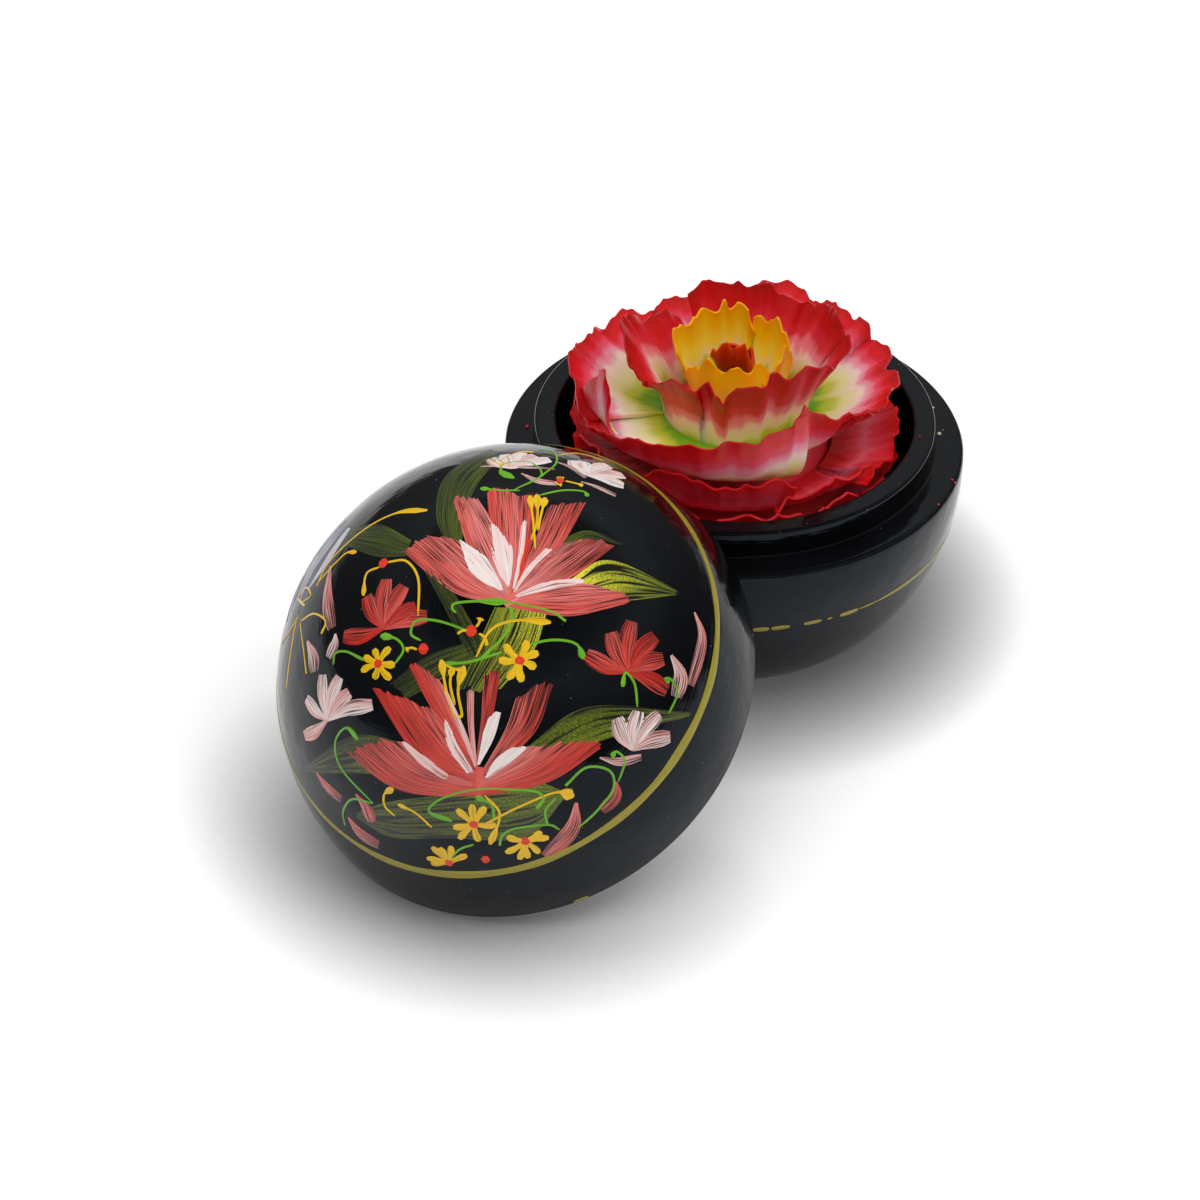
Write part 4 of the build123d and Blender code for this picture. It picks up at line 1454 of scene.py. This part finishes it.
spread_edges = (
    (
        (197, 37.0, 12.0), (188, 38.4, 17.0), (178, 39.2, 23.4), (168, 38.8, 21.5), (160, 38.0, 21.0),
        (152, 38.0, 20.0), (147, 37.2, 18.6), (141, 38.0, 19.0), (135, 38.3, 19.4), (127, 36.6, 17.4),
        (119, 36.0, 16.4),
    ),
    (
        (128, 35.0, 14.0), (122, 35.6, 17.2), (115, 36.0, 19.4), (106, 36.0, 19.0), (95, 36.0, 18.2),
        (84, 36.0, 18.0),
    ),
    (
        (99, 36.0, 16.0), (88, 37.0, 19.4), (76, 37.4, 21.8), (67, 38.0, 22.5), (60, 37.0, 20.2),
        (52, 36.0, 18.0),
    ),
    (
        (57, 36.6, 19.0), (50, 37.4, 21.0), (44, 37.6, 21.0), (39, 37.0, 19.6), (32, 38.0, 21.2),
        (27, 37.0, 18.0),
    ),
    (
        (33, 37.0, 17.5), (26, 36.8, 19.0), (20, 37.6, 19.0), (14, 38.4, 18.6), (7, 36.6, 18.4),
        (2, 38.0, 18.8), (-4, 38.0, 18.4), (-12, 36.8, 18.2), (-24, 35.0, 18.4), (-34, 32.0, 18.6),
        (-43, 28.0, 18.8),
    ),
    (
        (-62, 27.5, 22.5), (-58, 28.0, 26.0), (-53, 29.0, 24.0), (-47, 30.4, 21.6), (-38, 32.0, 20.6),
        (-28, 34.0, 19.0), (-20, 35.4, 17.0),
    ),
    (
        (206, 33.0, 20.0), (203, 33.6, 29.0), (196, 34.6, 24.0), (188, 36.6, 18.4), (184, 38.0, 15.0),
        (190, 38.0, 12.6), (200, 37.4, 13.6), (213, 36.8, 15.6), (228, 36.0, 18.4), (249, 35.4, 21.0),
        (260, 35.0, 21.9), (266, 35.0, 23.4), (275, 35.0, 23.0), (282, 34.6, 25.2), (289, 34.2, 25.6),
        (291, 34.0, 27.4), (297, 33.0, 27.0),
    ),
)
spread = []
for edge in spread_edges[:-1]:
    spread.append(petal_sheet(edge, (15.5, 8.6), (25.5, 11.0), 0.45, dice, 96, 26, 0.9, 0.8))
spread.append(petal_sheet(spread_edges[-1], (15.5, 8.6), (31.0, 10.0), 0.3, dice, 120, 28, 0.95, 0.5))
make_petals("soap_spread_petals", spread, red_soap)

low_petals = []
for first, last, radius, height in (
    (150, 196, 38.6, 7.0),
    (187, 240, 37.6, 8.0),
    (230, 292, 35.6, 12.0),
    (283, 330, 36.6, 8.0),
    (318, 376, 39.0, 6.5),
    (8, 62, 38.6, 7.5),
    (50, 108, 38.0, 8.0),
    (98, 158, 38.2, 7.5),
):
    turns = np.linspace(first, last, 9)
    edge = np.stack(
        [turns, radius + 0.5 * np.sin(turns * 0.3), height + 1.0 * np.sin(turns * 0.17 + first)], 1
    )
    edge[[0, -1], 2] -= 2.5
    low_petals.append(petal_sheet(edge, (23.5, 0.0), (31.5, 2.0), 0.5, dice, 72, 18, 0.85, 0.7))
for first, last, radius, height in (
    (140, 190, 37.6, 0.0),
    (180, 236, 37.6, 0.4),
    (228, 284, 38.4, 4.4),
    (276, 318, 38.4, 4.0),
    (310, 352, 38.6, 1.4),
    (-12, 40, 37.4, 0.4),
    (32, 90, 37.0, 0.2),
    (82, 150, 37.0, 0.0),
):
    turns = np.linspace(first, last, 9)
    edge = np.stack(
        [turns, radius + 0.5 * np.sin(turns * 0.37), height + 0.9 * np.sin(turns * 0.23 + first)], 1
    )
    edge[[0, -1], 2] -= 2.0
    low_petals.append(petal_sheet(edge, (25.0, -8.0), (31.5, -5.5), 0.5, dice, 72, 18, 0.85, 0.6))
make_petals("soap_low_petals", low_petals, deep_soap)

# Crumbs
# Small bits of red and white soap that fell from the knife and lie on the bowl's ledge and ring. Each has its
# place, its half size and how deep in the cake it was cut from, all in mm.

CRUMB_LIFT = 0.16
CRUMB_LUMP = 0.6667
CRUMB_DENT = 2.0
CRUMB_PLACES = (
    (-49.6, 4.7, 47.0, 0.45, 5.0),
    (48.8, 12.6, 47.0, 0.35, 11.0),
    (49.3, 1.5, 47.0, 0.45, 12.5),
    (50.4, 3.0, 47.0, 0.25, 10.0),
    (43.4, -9.6, 53.8, 0.28, 2.0),
    (50.8, -17.5, 47.0, 0.30, 5.0),
    (51.3, -18.4, 47.0, 0.28, 5.0),
    (46.6, -27.3, 47.0, 0.30, 5.0),
)
spots = np.array(CRUMB_PLACES)
scatter_mesh = bpy.data.meshes.new("crumb_places")
scatter_mesh.from_pydata(((spots[:, :3] + (0.0, 0.0, CRUMB_LIFT)) * MM).tolist(), [], [])
for name, column in (("crumb_size", 3), ("from_edge", 4)):
    attribute = scatter_mesh.attributes.new(name, "FLOAT", "POINT")
    attribute.data.foreach_set("value", spots[:, column].astype(np.float32))
scatter = bpy.data.objects.new("crumb_places", scatter_mesh)
bpy.context.scene.collection.objects.link(scatter)

tree = bpy.data.node_groups.new("crumbs_on_places", "GeometryNodeTree")
tree.interface.new_socket("Places", in_out="INPUT", socket_type="NodeSocketGeometry")
for name, kind, value in (
    ("Crumb Scale", "NodeSocketFloat", 1.0),
    ("Roughness", "NodeSocketFloat", 0.35),
    ("Seed", "NodeSocketInt", 0),
    ("Soap", "NodeSocketMaterial", None),
):
    socket = tree.interface.new_socket(name, in_out="INPUT", socket_type=kind)
    if value is not None:
        socket.default_value = value
tree.interface.new_socket("Crumbs", in_out="OUTPUT", socket_type="NodeSocketGeometry")
given = add_node(tree, "NodeGroupInput")
size = add_node(tree, "GeometryNodeInputNamedAttribute", {"Name": "crumb_size"}, data_type="FLOAT")
real_size = add_node(
    tree, "ShaderNodeMath", {0: size.outputs[0], 1: given.outputs["Crumb Scale"]}, operation="MULTIPLY"
)
real_size = add_node(tree, "ShaderNodeMath", {0: real_size.outputs[0], 1: MM}, operation="MULTIPLY")
turn = add_node(
    tree,
    "FunctionNodeRandomValue",
    {"Min": (0.0, 0.0, 0.0), "Max": (6.28, 6.28, 6.28), "Seed": given.outputs["Seed"]},
    data_type="FLOAT_VECTOR",
)
bit = add_node(tree, "GeometryNodeMeshIcoSphere", {"Radius": 1.0, "Subdivisions": 3})
bits = add_node(
    tree,
    "GeometryNodeInstanceOnPoints",
    {
        "Points": given.outputs["Places"],
        "Instance": bit.outputs["Mesh"],
        "Rotation": turn.outputs["Value"],
        "Scale": real_size.outputs[0],
    },
)
real = add_node(tree, "GeometryNodeRealizeInstances", {"Geometry": bits.outputs[0]})
lumps = add_node(tree, "ShaderNodeTexNoise", {"Scale": 1 / (CRUMB_LUMP * MM), "Detail": 1.0})
centred = add_node(tree, "ShaderNodeMath", {0: lumps.outputs[0], 1: 0.6}, operation="SUBTRACT")
depth = add_node(
    tree, "ShaderNodeMath", {0: centred.outputs[0], 1: given.outputs["Roughness"]}, operation="MULTIPLY"
)
depth = add_node(tree, "ShaderNodeMath", {0: depth.outputs[0], 1: CRUMB_DENT * MM}, operation="MULTIPLY")
outwards = add_node(tree, "GeometryNodeInputNormal")
shift = add_node(
    tree, "ShaderNodeVectorMath", {0: outwards.outputs[0], "Scale": depth.outputs[0]}, operation="SCALE"
)
rough_bits = add_node(
    tree, "GeometryNodeSetPosition", {"Geometry": real.outputs[0], "Offset": shift.outputs[0]}
)
dyed = add_node(
    tree, "GeometryNodeSetMaterial", {"Geometry": rough_bits.outputs[0], "Material": given.outputs["Soap"]}
)
add_node(tree, "NodeGroupOutput", {0: dyed.outputs[0]})

maker = scatter.modifiers.new("crumbs", "NODES")
maker.node_group = tree
for socket in tree.interface.items_tree:
    if socket.in_out == "INPUT" and socket.name in ("Seed", "Soap"):
        maker[socket.identifier] = {"Seed": 7, "Soap": red_soap}[socket.name]
solid = bpy.data.meshes.new_from_object(scatter.evaluated_get(bpy.context.evaluated_depsgraph_get()))
bpy.data.objects.remove(scatter)
solid.name = "soap_crumbs"
crumbs = bpy.data.objects.new("soap_crumbs", solid)
bpy.context.scene.collection.objects.link(crumbs)
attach(crumbs, "bowl")
